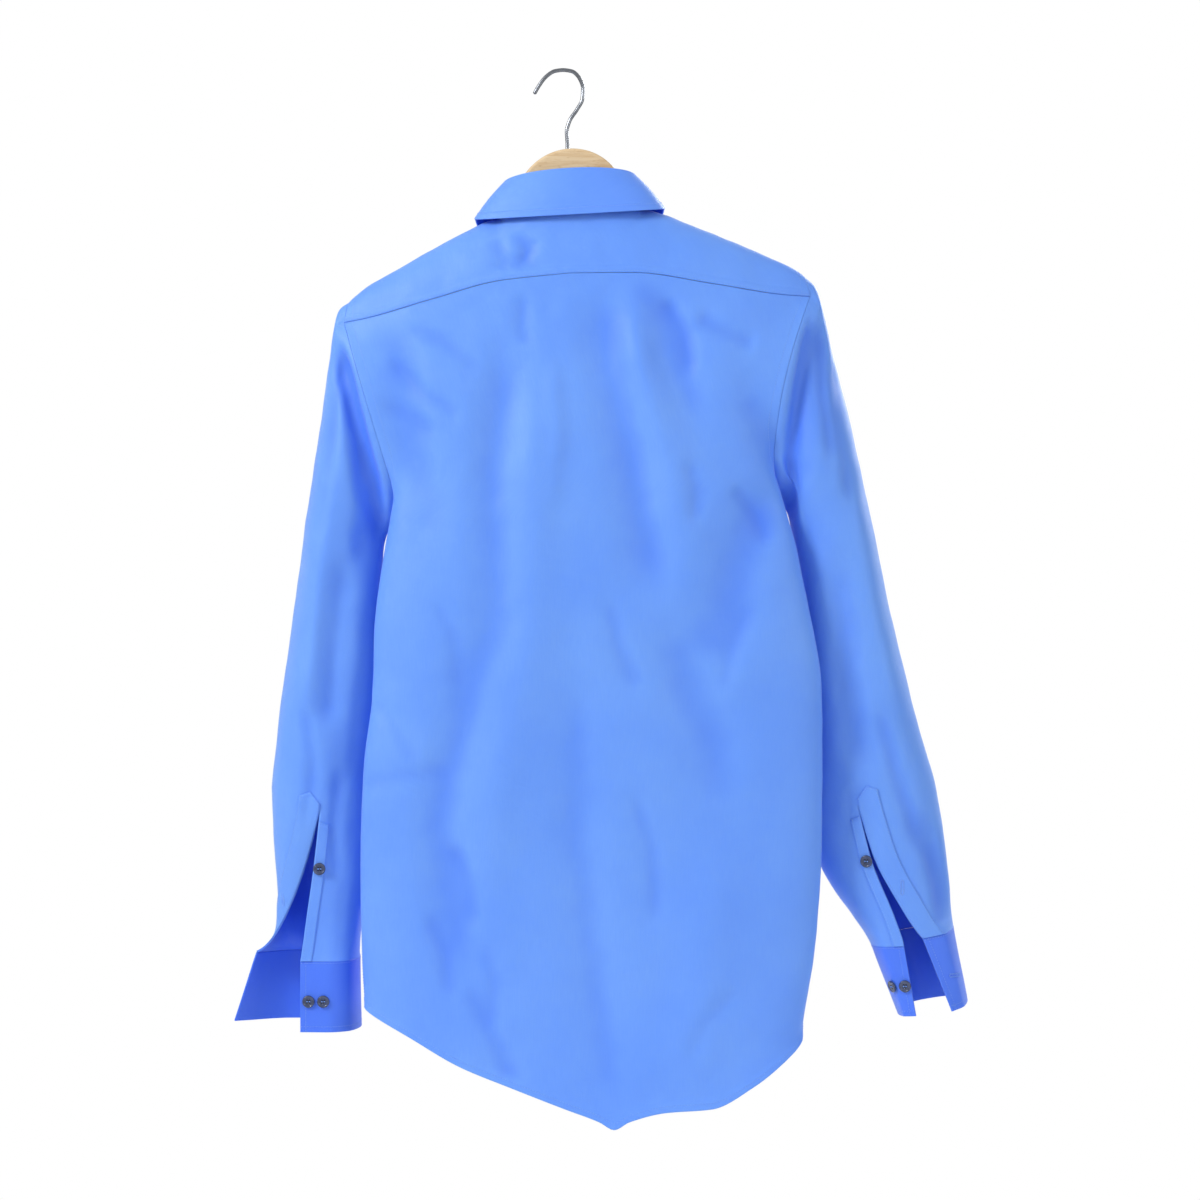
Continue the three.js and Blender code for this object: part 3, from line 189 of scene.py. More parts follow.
SLEEVE_FOLDS = (
    Fold(1, 12, -8, ((204, -235), (188, -300), (170, -380), (172, -460))),
    Fold(1, 9, -5, ((196, -250), (184, -330), (176, -400))),
    Fold(1, 14, 5, ((214, -330), (222, -450), (236, -600))),
    Fold(1, 12, -6, ((196, -430), (206, -520), (214, -600))),
    Fold(1, 10, -7, ((-228, -215), (-216, -280), (-204, -350))),
    Fold(1, 9, -6, ((-236, -225), (-226, -300), (-216, -380))),
    Fold(1, 14, -6, ((-246, -420), (-256, -540), (-270, -640))),
    Fold(1, 13, 5, ((-262, -360), (-284, -480), (-310, -600))),
    Fold(1, 11, -7, ((-322, -655), (-338, -710), (-346, -770))),
    Fold(-1, 14, -7, ((196, -300), (204, -400), (206, -480))),
    Fold(-1, 14, -7, ((214, -520), (224, -620), (236, -720))),
    Fold(-1, 14, -7, ((-228, -300), (-240, -400), (-246, -480))),
    Fold(-1, 14, -7, ((-262, -520), (-290, -640), (-306, -720))),
)
# Small creases that only the cloth's surface has.
FINE_CREASES = (
    Fold(1, 8, -2.4, ((39, -144), (32, -165), (42, -187))),
    Fold(1, 8, -2.0, ((24, -150), (31, -170), (20, -188))),
    Fold(1, 8, -2.0, ((60, -150), (50, -172), (54, -184))),
    Fold(1, 8, -2.2, ((33, -200), (36, -232), (30, -250))),
    Fold(1, 8, -1.8, ((187, -640), (150, -634), (93, -626))),
    Fold(1, 8, -1.8, ((170, -560), (150, -590), (128, -628))),
    Fold(1, 8, -2.4, ((100, -690), (84, -726), (78, -770))),
    Fold(1, 8, -2.2, ((124, -750), (104, -790), (98, -835))),
    Fold(1, 8, -2.0, ((72, -780), (60, -815), (64, -860))),
    Fold(1, 9, -2.6, ((88, -815), (64, -860), (38, -915))),
    Fold(1, 8, -2.6, ((-112, -350), (-120, -380), (-118, -412))),
    Fold(1, 8, -2.0, ((-40, -470), (-52, -520), (-70, -560))),
    Fold(1, 8, 1.8, ((10, -260), (4, -330), (12, -400))),
    Fold(1, 8, -1.6, ((118, -470), (96, -510), (92, -560))),
    Fold(1, 8, -1.8, ((-170, -470), (-150, -520), (-142, -560))),
    Fold(1, 8, -2.2, ((-60, -640), (-80, -700), (-84, -770))),
    Fold(1, 8, -2.4, ((158, -256), (124, -292), (84, -316))),
    Fold(1, 8, -1.8, ((166, -300), (134, -312), (110, -330))),
    Fold(1, 8, -2.0, ((140, -230), (104, -246), (72, -276))),
    Fold(1, 8, -3.2, ((-88, -205), (-108, -236), (-116, -280))),
    Fold(1, 8, -3.0, ((-116, -222), (-146, -238), (-176, -250))),
    Fold(1, 8, -2.6, ((-150, -372), (-172, -398), (-184, -430))),
    Fold(1, 8, -1.8, ((-160, -820), (-130, -850), (-108, -890))),
    Fold(-1, 8, -2.2, ((40, -300), (60, -350), (66, -420))),
    Fold(-1, 8, -2.2, ((-60, -420), (-44, -480), (-52, -560))),
    Fold(-1, 8, -2.4, ((130, -640), (110, -700), (118, -780))),
)
FINE_SLEEVE_CREASES = (
    Fold(1, 7, -3.0, ((192, -232), (206, -300), (216, -380), (222, -440))),
    Fold(1, 7, -4.6, ((197, -232), (187, -300), (170, -370), (167, -430))),
    Fold(1, 7, -5.0, ((-220, -205), (-214, -270), (-204, -350), (-207, -410))),
    Fold(1, 7, -2.6, ((184, -330), (178, -392), (186, -450))),
    Fold(1, 7, -2.6, ((238, -560), (226, -620), (232, -690))),
    Fold(1, 7, -2.4, ((200, -620), (208, -680), (204, -740))),
    Fold(1, 7, -3.2, ((-230, -215), (-234, -290), (-242, -360))),
    Fold(1, 7, -2.8, ((-244, -250), (-250, -330), (-262, -400))),
    Fold(1, 8, -3.0, ((-282, -565), (-304, -640), (-328, -712))),
    Fold(1, 7, -2.6, ((-258, -640), (-276, -690), (-284, -740))),
    Fold(1, 7, -2.4, ((-330, -690), (-340, -740), (-344, -775))),
    Fold(-1, 7, -2.6, ((208, -560), (216, -610), (210, -660))),
    Fold(-1, 7, -2.6, ((-268, -470), (-276, -530), (-290, -590))),
)

# Sleeves. Columns: place down the sleeve, x and z of the outer line, x and z of the inner
# line, y of both, the bulge to the back and to the front, and how much of it tapers.
SLEEVES = {
    "left": np.array([
        [0, 199, -217, 146, -397, -2, -20, 40, 57, 0],
        [0.03, 207, -222, 153, -406, -4, -21, 42, 57, 0.05],
        [0.06, 211, -240, 160, -417, -8, -23, 44, 58, 0.12],
        [0.1, 215, -270, 163, -436, -14, -26, 47, 58, 0.2],
        [0.2, 223.5, -334, 165, -475, -26, -34, 54, 60, 0.4],
        [0.35, 237, -421, 163, -533, -36, -42, 57, 58, 0.45],
        [0.5, 249.5, -509, 167, -592, -42, -46, 54, 53, 0.45],
        [0.65, 262, -597, 171, -650, -45, -47, 48, 48, 0.42],
        [0.8, 271, -684, 173, -709, -46, -47, 42, 46, 0.3],
        [0.9, 275, -743, 179, -752, -46, -47, 40, 46, 0.1],
        [1, 276, -801, 186, -801, -46, -47, 40, 46, 0],
    ], float),
    "right": np.array([
        [0, -225, -193, -191.5, -379, -2, -20, 40, 57, 0],
        [0.03, -234, -201, -201, -388, -4, -21, 42, 57, 0.05],
        [0.06, -239, -219, -206, -399, -8, -23, 44, 58, 0.12],
        [0.1, -246, -252, -210, -418, -14, -26, 47, 58, 0.2],
        [0.2, -260, -311, -216, -461, -26, -34, 54, 60, 0.4],
        [0.35, -279.5, -399, -221, -522, -36, -42, 57, 58, 0.45],
        [0.5, -299, -488, -223, -584, -42, -46, 54, 53, 0.45],
        [0.65, -321, -576, -225, -645, -45, -47, 48, 50, 0.42],
        [0.8, -346, -665, -227, -707, -46, -47, 42, 50, 0.3],
        [0.9, -356.5, -724, -250, -748, -46, -47, 38, 52, 0.1],
        [1, -360, -783, -281, -789, -46, -47, 36, 52, 0],
    ], float),
}
# Open cuffs. Columns: place from the button end, then x, y and z of the top and bottom edges.
CUFFS = {
    "left": np.array([
        [0, 237, -4, -801, 237, -4, -865],
        [0.11, 212, -4, -801, 212, -3, -865],
        [0.21, 193, -14, -801, 192, -14, -865],
        [0.34, 186, -42, -801, 185, -44, -865],
        [0.5, 191, -78, -801, 191, -80, -865],
        [0.63, 212, -96, -801, 214, -98, -865],
        [0.8, 250, -94, -801, 258, -97, -865],
        [0.92, 274, -82, -801, 287, -86, -865],
        [1, 284, -67, -800, 305, -71, -864],
    ], float),
    "right": np.array([
        [0, -308, -10, -788, -319, -14, -852],
        [0.08, -290, -14, -789, -309, -20, -853],
        [0.2, -281, -40, -790, -306, -44, -854],
        [0.36, -290, -78, -788, -312, -80, -852],
        [0.5, -318, -98, -782, -335, -98, -848],
        [0.62, -345, -84, -777, -358, -86, -843],
        [0.78, -357, -48, -773, -370, -50, -841],
        [0.92, -346, -16, -777, -364, -22, -844],
        [1, -325, -9, -781, -352, -10, -847],
    ], float),
}
SLIT_ANGLE = {"left": math.radians(90), "right": math.radians(105)}
SLIT_TOP = 0.735
SLIT_ROW = 14
SLEEVE_ROWS = 20
SLIT_FROM = 3


class Edge(Enum):
    """The four edges of a cloth grid."""

    TOP = "top"
    BOTTOM = "bottom"
    FIRST = "first"
    LAST = "last"


FREE_EDGES = (Edge.BOTTOM, Edge.FIRST, Edge.LAST)


def lerp(a: Array | float, b: Array | float, t: Array | float) -> Array | float:
    """Go the share t of the way from a to b."""
    return a + (b - a) * t


def smooth(t: Array | float) -> Array:
    """Ease from 0 to 1: 3 t squared less 2 t cubed, held outside the range."""
    s = np.clip(t, 0.0, 1.0)
    return s * s * (3 - 2 * s)


def read(table: Array, column: int, at: Array | float) -> Array:
    """Read a smooth value from a table whose first column is the place.

    Between two rows the value is a cubic Hermite curve. Its slope at a row is the harmonic
    mean of the slopes on both sides, or none where they change sign.

    Args:
        table: Rows sorted by their first column, up or down.
        column: The column to read.
        at: Places to read it at, held inside the table.

    Returns:
        The values, shaped as the places.
    """
    rows = table[np.argsort(table[:, 0])]
    x, y = rows[:, 0], rows[:, column]
    slope = np.diff(y) / np.diff(x)
    a, b = slope[:-1], slope[1:]
    total = np.where(a + b == 0, 1.0, a + b)
    inner = np.where(a * b <= 0, 0.0, 2 * a * b / total)
    tangent = np.concatenate([slope[:1], inner, slope[-1:]])
    place = np.clip(at, x[0], x[-1])
    i = np.clip(np.searchsorted(x, place, side="left") - 1, 0, len(x) - 2)
    step = x[i + 1] - x[i]
    t = (place - x[i]) / step
    ends = y[i] * (1 + 2 * t) * (1 - t) ** 2 + y[i + 1] * t * t * (3 - 2 * t)
    return ends + step * t * (1 - t) * (tangent[i] * (1 - t) - tangent[i + 1] * t)


def unit(v: Array) -> Array:
    """Scale vectors in the last axis to a length of one."""
    return v / np.maximum(np.linalg.norm(v, axis=-1, keepdims=True), 1e-12)


def fold_depth(folds: Sequence[Fold], side: int, x: Array, z: Array) -> Array:
    """Add up the folds of one side at points.

    Each fold is a bell across its line, deep times e to the minus (gap over width) squared,
    that eases in and out over a fifth of the line at each end.

    Args:
        folds: The folds.
        side: 1 for the back and -1 for the front.
        x: The points' x, in mm.
        z: The points' z, in mm.

    Returns:
        How far each point moves outwards, in mm.
    """
    total = np.zeros(np.shape(x))
    for fold in folds:
        if fold.side != side:
            continue
        best = np.full(np.shape(x), np.inf)
        along = np.zeros(np.shape(x))
        last = len(fold.line) - 1
        for i in range(last):
            (ax, az), (bx, bz) = fold.line[i], fold.line[i + 1]
            dx, dz = bx - ax, bz - az
            t = np.clip(((x - ax) * dx + (z - az) * dz) / (dx * dx + dz * dz), 0, 1)
            gap = np.hypot(x - ax - dx * t, z - az - dz * t)
            nearer = gap < best
            best = np.where(nearer, gap, best)
            along = np.where(nearer, (i + t) / last, along)
        ends = smooth(along / 0.2) * smooth((1 - along) / 0.2)
        total += fold.deep * np.exp(-((best / fold.wide) ** 2)) * ends
    return total


def folds_at(folds: Sequence[Fold], facing: Array, x: Array, z: Array) -> Array:
    """Add up the back's folds where points face the back and the front's elsewhere."""
    return np.where(facing > 0, fold_depth(folds, 1, x, z), fold_depth(folds, -1, x, z))


def crumple(x: Array, z: Array, size: float, seed: int) -> Array:
    """Give the cloth's small unevenness: eight slanted sine waves added up.

    Args:
        x: The points' x, in mm.
        z: The points' z, in mm.
        size: The usual wave length, in mm.
        seed: Picks the waves' directions and phases.

    Returns:
        Values of about -1 to 1.
    """
    draw = np.random.default_rng(seed)
    total = np.zeros(np.shape(x))
    for _ in range(8):
        turn, phase = draw.uniform(0, 2 * math.pi, 2)
        wave = 2 * math.pi / (size * draw.uniform(0.7, 1.6))
        total += np.sin(wave * (x * math.cos(turn) + z * math.sin(turn) * 0.55) + phase)
    return total / 4


def tilt(points: Array) -> Array:
    """Lean what the hanger carries, less and less towards the hem."""
    x, z = points[..., 0], points[..., 2]
    fade = 1 - smooth((TILT_TOP - z) / (TILT_TOP - TILT_END))
    out = points.copy()
    out[..., 2] = z - HANG_TILT * (x - SHOULDER_X) * fade
    return out


def middle_at(distance: Array) -> Array:
    """Give the middle's x, which moves from the neck's to the shoulders'."""
    return lerp(NECK_X, SHOULDER_X, np.clip(np.abs(distance) / TIP, 0, 1) ** 2)


def flank_tuck(y: Array) -> Array:
    """Give how far the flank draws in at a depth."""
    return FLANK_TUCK * np.tanh(np.maximum(0, FLANK_START - y) / FLANK_SOFT)


def armhole(side: int, face: int, z: Array) -> tuple[Array, Array]:
    """Give the armhole's curve: a leaning oval from the shoulder tip to the armpit.

    Args:
        side: 1 for the shirt's left and -1 for its right.
        face: 1 for the back's curve and -1 for the front's.
        z: Heights, in mm.

    Returns:
        The curve's x and y.
    """
    t = np.clip((TIP_Z - z) / (TIP_Z - PIT_Z), 0, 1)
    bulge = (2 * np.sqrt(t * (1 - t))) ** 1.3
    pit = read(BODY, LEFT if side > 0 else RIGHT, PIT_Z) - side * 12
    tuck = 0 if side > 0 else 10
    x = lerp(SHOULDER_X + side * TIP, pit, t) - side * tuck * np.sin(math.pi * t)
    return x, PIT_Y * t + (ARMHOLE_BACK if face > 0 else -ARMHOLE_FRONT) * bulge


def lengths(points: Array) -> Array:
    """Give the length along the first axis from the first point to each point."""
    steps = np.linalg.norm(np.diff(points, axis=0), axis=-1)
    return np.concatenate([np.zeros_like(steps[:1]), np.cumsum(steps, axis=0)])


def run_length(points: Array) -> Array:
    """Give the length of runs of points, (n, m, 2) to (n,)."""
    return np.linalg.norm(np.diff(points, axis=1), axis=2).sum(axis=1)


def half_row(z: Array, side: int, face: int) -> tuple[Array, Array]:
    """Give half rows of the body, from the middle of the back or front to the side.

    A row is a rounded quarter: y falls as a power of the cosine and x grows as the same
    power of the sine, less the flank's tuck. Above the armpit the armhole cuts it short.

    Args:
        z: Heights, in mm, shaped (n,).
        side: 1 for the left half and -1 for the right.
        face: 1 for the back and -1 for the front.

    Returns:
        Points shaped (n, samples, 2), and the rows' lengths as if they weren't cut.
    """
    is_open = z >= PIT_Z
    corner = lerp(1.0, 0.5, smooth((SEAM_END_Z - z) / (SEAM_END_Z - PIT_Z)))
    near_pit = smooth((z - NEST_TOP) / (PIT_Z - NEST_TOP))
    middle_x = read(BODY, MIDDLE, z)
    middle_y = read(BODY, BACK_Y if face > 0 else FRONT_Y, z)
    wide = np.abs(read(BODY, LEFT if side > 0 else RIGHT, z) - middle_x) * EDGE_ROOM
    cut_x, cut_y = armhole(side, face, z)
    base_y = np.where(is_open, lerp(cut_y, PIT_Y, near_pit), PIT_Y)
    cut = np.where(is_open, np.clip((cut_y - base_y) / (middle_y - base_y), 0, 1), 0)
    end_angle = np.arccos(cut ** (1 / corner))
    end_share = np.sin(end_angle) ** corner
    own_tuck = flank_tuck(cut_y) * near_pit
    cut_reach = np.abs(cut_x - middle_x)
    reach = np.where(is_open, lerp((cut_reach + own_tuck) / end_share, wide, near_pit), wide)
    away = np.where(is_open, cut_reach - reach * end_share + own_tuck, 0)

    def quarter(last: Array, bend: Array) -> Array:
        """Sample the rounded quarter up to an angle, bent to meet its end."""
        share = np.linspace(0, 1, HALF_SAMPLES + 1)[None, :]
        angle = share * last[:, None]
        fall = np.clip(np.cos(angle), 0, 1) ** corner[:, None]
        y = base_y[:, None] + (middle_y - base_y)[:, None] * fall
        across = np.sin(angle) ** corner[:, None]
        tuck = flank_tuck(y) * near_pit[:, None] * smooth(across * 2)
        x = reach[:, None] * across - tuck + bend[:, None] * share ** EDGE_POWER
        return np.stack([middle_x[:, None] + side * x, y], axis=2)

    points = quarter(end_angle, away)
    whole = run_length(quarter(np.full(z.shape, math.pi / 2), np.zeros(z.shape)))
    return points, np.where(is_open, whole, run_length(points))


def place_on(points: Array, share: Array) -> Array:
    """Give the place on each run of points at a share of the run's length."""
    run = lengths(points.swapaxes(0, 1)).T
    wanted = share * run[:, -1]
    i = (run[:, 1:-1] < wanted[:, None]).sum(axis=1)
    n = np.arange(len(points))
    t = (wanted - run[n, i]) / (run[n, i + 1] - run[n, i])
    return lerp(points[n, i], points[n, i + 1], t[:, None])


def place_on_cut(z: Array, share: Array, face: int) -> Array:
    """Give places on rows that the armhole cuts, with columns that hang straight."""
    left, left_whole = half_row(z, 1, face)
    right, right_whole = half_row(z, -1, face)
    along = np.clip(share, 0, 1) * (left_whole + right_whole) - left_whole
    on_left = along < 0
    points = np.where(on_left[:, None, None], left, right)
    whole = np.where(on_left, left_whole, right_whole)
    length = run_length(points)
    part = np.abs(along) / whole
    reached = part * whole - (whole - length) * part ** CLOSING
    return place_on(points, np.clip(reached / length, 0, 1))


def place_on_ring(z: Array, share: Array, face: int) -> Array:
    """Give places on the closed rings below the armpits, which the seams turn round."""
    over = np.concatenate([half_row(z, 1, 1)[0][:, ::-1], half_row(z, -1, 1)[0][:, 1:]], 1)
    under = np.concatenate([half_row(z, -1, -1)[0][:, ::-1], half_row(z, 1, -1)[0][:, 1:]], 1)
    over_length, under_length = run_length(over), run_length(under)
    along = share * over_length if face > 0 else -share * under_length
    place = (along - read(BODY, TURN, z)) / (over_length + under_length)
    return place_on(np.concatenate([over, under[:, 1:]], 1), place - np.floor(place))


def body_at(z: Array, share: Array, face: int) -> Array:
    """Give points of the body's back or front at heights and shares from left to right."""
    flat = np.empty(z.shape + (2,))
    is_open = z >= PIT_Z
    if is_open.any():
        flat[is_open] = place_on_cut(z[is_open], share[is_open], face)
    if (~is_open).any():
        flat[~is_open] = place_on_ring(z[~is_open], share[~is_open], face)
    x, y = flat[:, 0], flat[:, 1]
    side = np.where(y > PIT_Y, 1, -1)
    full = read(BODY, BACK_Y, z) * (side > 0) + read(BODY, FRONT_Y, z) * (side < 0)
    facing = smooth(np.abs(y - PIT_Y) / np.abs(full - PIT_Y) * 1.25)
    return np.stack([x, y + side * facing * folds_at(BODY_FOLDS, side, x, z), z], axis=1)


def yoke_at(distance: Array, place: Array) -> Array:
    """Give yoke points: an arc over the shoulder line from the back seam to the front one."""
    d = np.abs(distance)
    behind = place > 0
    bend = np.where(behind, YOKE_BACK_BEND, YOKE_FRONT_BEND)
    seam_y = np.where(behind, read(BACK_SEAM, 1, d), read(FRONT_SEAM, 1, d))
    seam_z = np.where(behind, read(BACK_SEAM, 2, d), read(FRONT_SEAM, 2, d))
    ridge = read(RIDGE, 1, d)
    angle = np.abs(place) * bend
    drop = (1 - np.cos(angle)) / (1 - np.cos(bend))
    y = seam_y * np.sin(angle) / np.sin(bend)
    return np.stack([distance + middle_at(distance), y, ridge - (ridge - seam_z) * drop], -1)


def neck_on_yoke(beta: Array) -> tuple[Array, Array]:
    """Give the neckline at angles round the neck, as distance and place on the yoke."""
    c = np.cos(beta)
    place = np.where(c > 0, NECK_BACK_PLACE * c, c / abs(math.cos(CORNER_BETA)))
    corner_reach = NECK_CORNER / math.sin(CORNER_BETA)
    reach = np.where(c > 0, NECK_HALF, lerp(NECK_HALF, corner_reach, -place))
    return reach * np.sin(beta), place


def neckline(beta: Array) -> Array:
    """Give points of the whole neckline at angles round the neck."""
    inside = np.clip(beta, -CORNER_BETA, CORNER_BETA)
    on_yoke = yoke_at(*neck_on_yoke(inside))
    edge = math.cos(CORNER_BETA)
    t = np.clip((np.cos(beta) - edge) / (-1 - edge), 0, 1)
    x = NECK_X + NECK_CORNER / math.sin(CORNER_BETA) * np.sin(beta)
    corner_y, corner_z = FRONT_SEAM[1, 1:]
    low_y, low_z = NECK_LOW
    below = np.stack([x, lerp(corner_y, low_y, t), lerp(corner_z, low_z, t ** 1.15)], -1)
    return np.where((np.abs(beta) <= CORNER_BETA + 1e-6)[..., None], on_yoke, below)


def seam_end(z: float, face: int) -> float:
    """Find how far from the middle a yoke seam meets the armhole at a height."""
    target = float(armhole(1, face, np.array(z))[0])
    d = TIP
    for _ in range(12):
        d -= d + float(middle_at(np.array(d))) - target
    return d


BACK_END = seam_end(SEAM_END_Z, 1)
FRONT_END = seam_end(FRONT_SEAM_END_Z, -1)


def hung_point(top: Array, hem_z: Array, down: Array, share: Array, face: int) -> Array:
    """Give points of a panel that hangs from its top edge and takes the body's sections."""
    z = lerp(top[:, 2], hem_z, down)
    base = body_at(np.minimum(z, TIP_Z), share, face)
    natural = body_at(np.minimum(top[:, 2], TIP_Z), share, face)
    fade = 1 - smooth(down / TOP_FADE)
    x = base[:, 0] + (top[:, 0] - natural[:, 0]) * fade
    y = base[:, 1] + (top[:, 1] - natural[:, 1]) * fade
    return np.stack([x, y, z], axis=1)


def back_at(down: Array, column: Array) -> Array:
    """Give points of the back at shares down and columns across."""
    share = column / BACK_COLUMNS
    top = yoke_at(lerp(BACK_END, -BACK_END, share), np.ones(share.shape))
    return tilt(hung_point(top, read(BACK_HEM, 1, share), down, share, 1))


def front_at(side: int) -> Callable[[Array, Array], Array]:
    """Give the function of one front's points; the right one lies under the left one."""

    def at(down: Array, column: Array) -> Array:
        """Give points at shares down and columns from the side seam to the front edge."""
        past = column / FRONT_COLUMNS
        run = past / 2 * (1 + FRONT_OVERLAP / FRONT_RUN)
        distance = lerp(FRONT_END, NECK_CORNER, column / SHOULDER_COLUMNS)
        on_seam = yoke_at(side * distance, np.full(column.shape, -1.0))
        t = (column - SHOULDER_COLUMNS) / FRONT_NECK_COLUMNS
        on_neck = neckline(side * lerp(CORNER_BETA, math.pi + LAP_BETA, np.maximum(t, 0)))
        top = np.where((column <= SHOULDER_COLUMNS)[:, None], on_seam, on_neck)
        hem = read(FRONT_HEM, 1, past)
        points = hung_point(top, hem, down, run if side > 0 else 1 - run, -1)
        if side < 0:
            points[:, 1] += UNDERLAP * smooth((past - 0.6) / 0.2)
        return tilt(points)

    return at


def yoke_grid_at(up: Array, column: Array) -> Array:
    """Give yoke points between the back seam (0) and the front seams and neckline (1)."""
    right = SHOULDER_COLUMNS + NECK_COLUMNS
    beta = lerp(CORNER_BETA, -CORNER_BETA, (column - SHOULDER_COLUMNS) / NECK_COLUMNS)
    neck_distance, neck_place = neck_on_yoke(np.clip(beta, -CORNER_BETA, CORNER_BETA))
    first = lerp(FRONT_END, NECK_CORNER, column / SHOULDER_COLUMNS)
    last = lerp(-NECK_CORNER, -FRONT_END, (column - right) / SHOULDER_COLUMNS)
    distance = np.where(column <= SHOULDER_COLUMNS, first,
                        np.where(column >= right, last, neck_distance))
    on_neck = (column > SHOULDER_COLUMNS) & (column < right)
    place = np.where(on_neck, neck_place, -1.0)
    bottom = lerp(BACK_END, -BACK_END, column / BACK_COLUMNS)
    return tilt(yoke_at(lerp(bottom, distance, up), lerp(1.0, place, up)))


def armhole_angle(start_z: float, row: Array) -> Array:
    """Give the angles round the armhole of a panel's rows, counted from its seam's end."""
    first = math.acos(1 - 2 * (TIP_Z - start_z) / (TIP_Z - PIT_Z))
    return lerp(first, math.pi, row / ARMHOLE_ROWS)


def armhole_down(start_z: float, row: Array) -> Array:
    """Give the shares down a panel of its armhole rows."""
    angle = armhole_angle(start_z, row)
    first = TIP_Z + (PIT_Z - TIP_Z) * (1 - math.cos(float(armhole_angle(start_z, 0)))) / 2
    z = TIP_Z + (PIT_Z - TIP_Z) * (1 - np.cos(angle)) / 2
    return (first - z) / (first - BACK_HEM[0, 1])


def panel_rows(start_z: float) -> Array:
    """Give the shares down a panel of all its rows, from its seam to its hem."""
    armhole_part = armhole_down(start_z, np.arange(0, ARMHOLE_ROWS, 1 / FINE))
    skirt = np.linspace(float(armhole_down(start_z, ARMHOLE_ROWS)), 1, SKIRT_ROWS * FINE + 1)
    return np.concatenate([armhole_part, skirt])


def with_marks(values: Array, length: float, first: Sequence[float] = (),
               last: Sequence[float] = (), gap: float = SEAM) -> Array:
    """Draw a run of places in at its ends and add places near them for seams and hems.

    Args:
        values: The places, in order up or down.
        length: What the whole run measures, in mm.
        first: Distances from the first end at which to add places, in mm.
        last: Distances from the last end, in mm.
        gap: How far both ends are drawn in, in mm.

    Returns:
        The places, in the same order.
    """
    span = values[-1] - values[0]
    unit_mm = span / length
    starts = values[0] + np.array([gap, *first]) * unit_mm
    ends = values[-1] - np.array([gap, *last]) * unit_mm
    sign = math.copysign(1, span)
    clear = 0.6 * abs(unit_mm)
    marks = np.concatenate([starts, ends])
    inner = values[1:-1]
    apart = np.abs(inner[:, None] - marks[None, :]).min(axis=1) > clear
    return np.sort(sign * np.concatenate([inner[apart], marks])) * sign


# Places added near edges, in mm in from them, for seams and for felled hems.
EDGE_MARKS = (0.7, 1.4, 2.4)
WELT_MARKS = (0.7, 1.4, 5.6, 6.4, 7.2, 8.2)


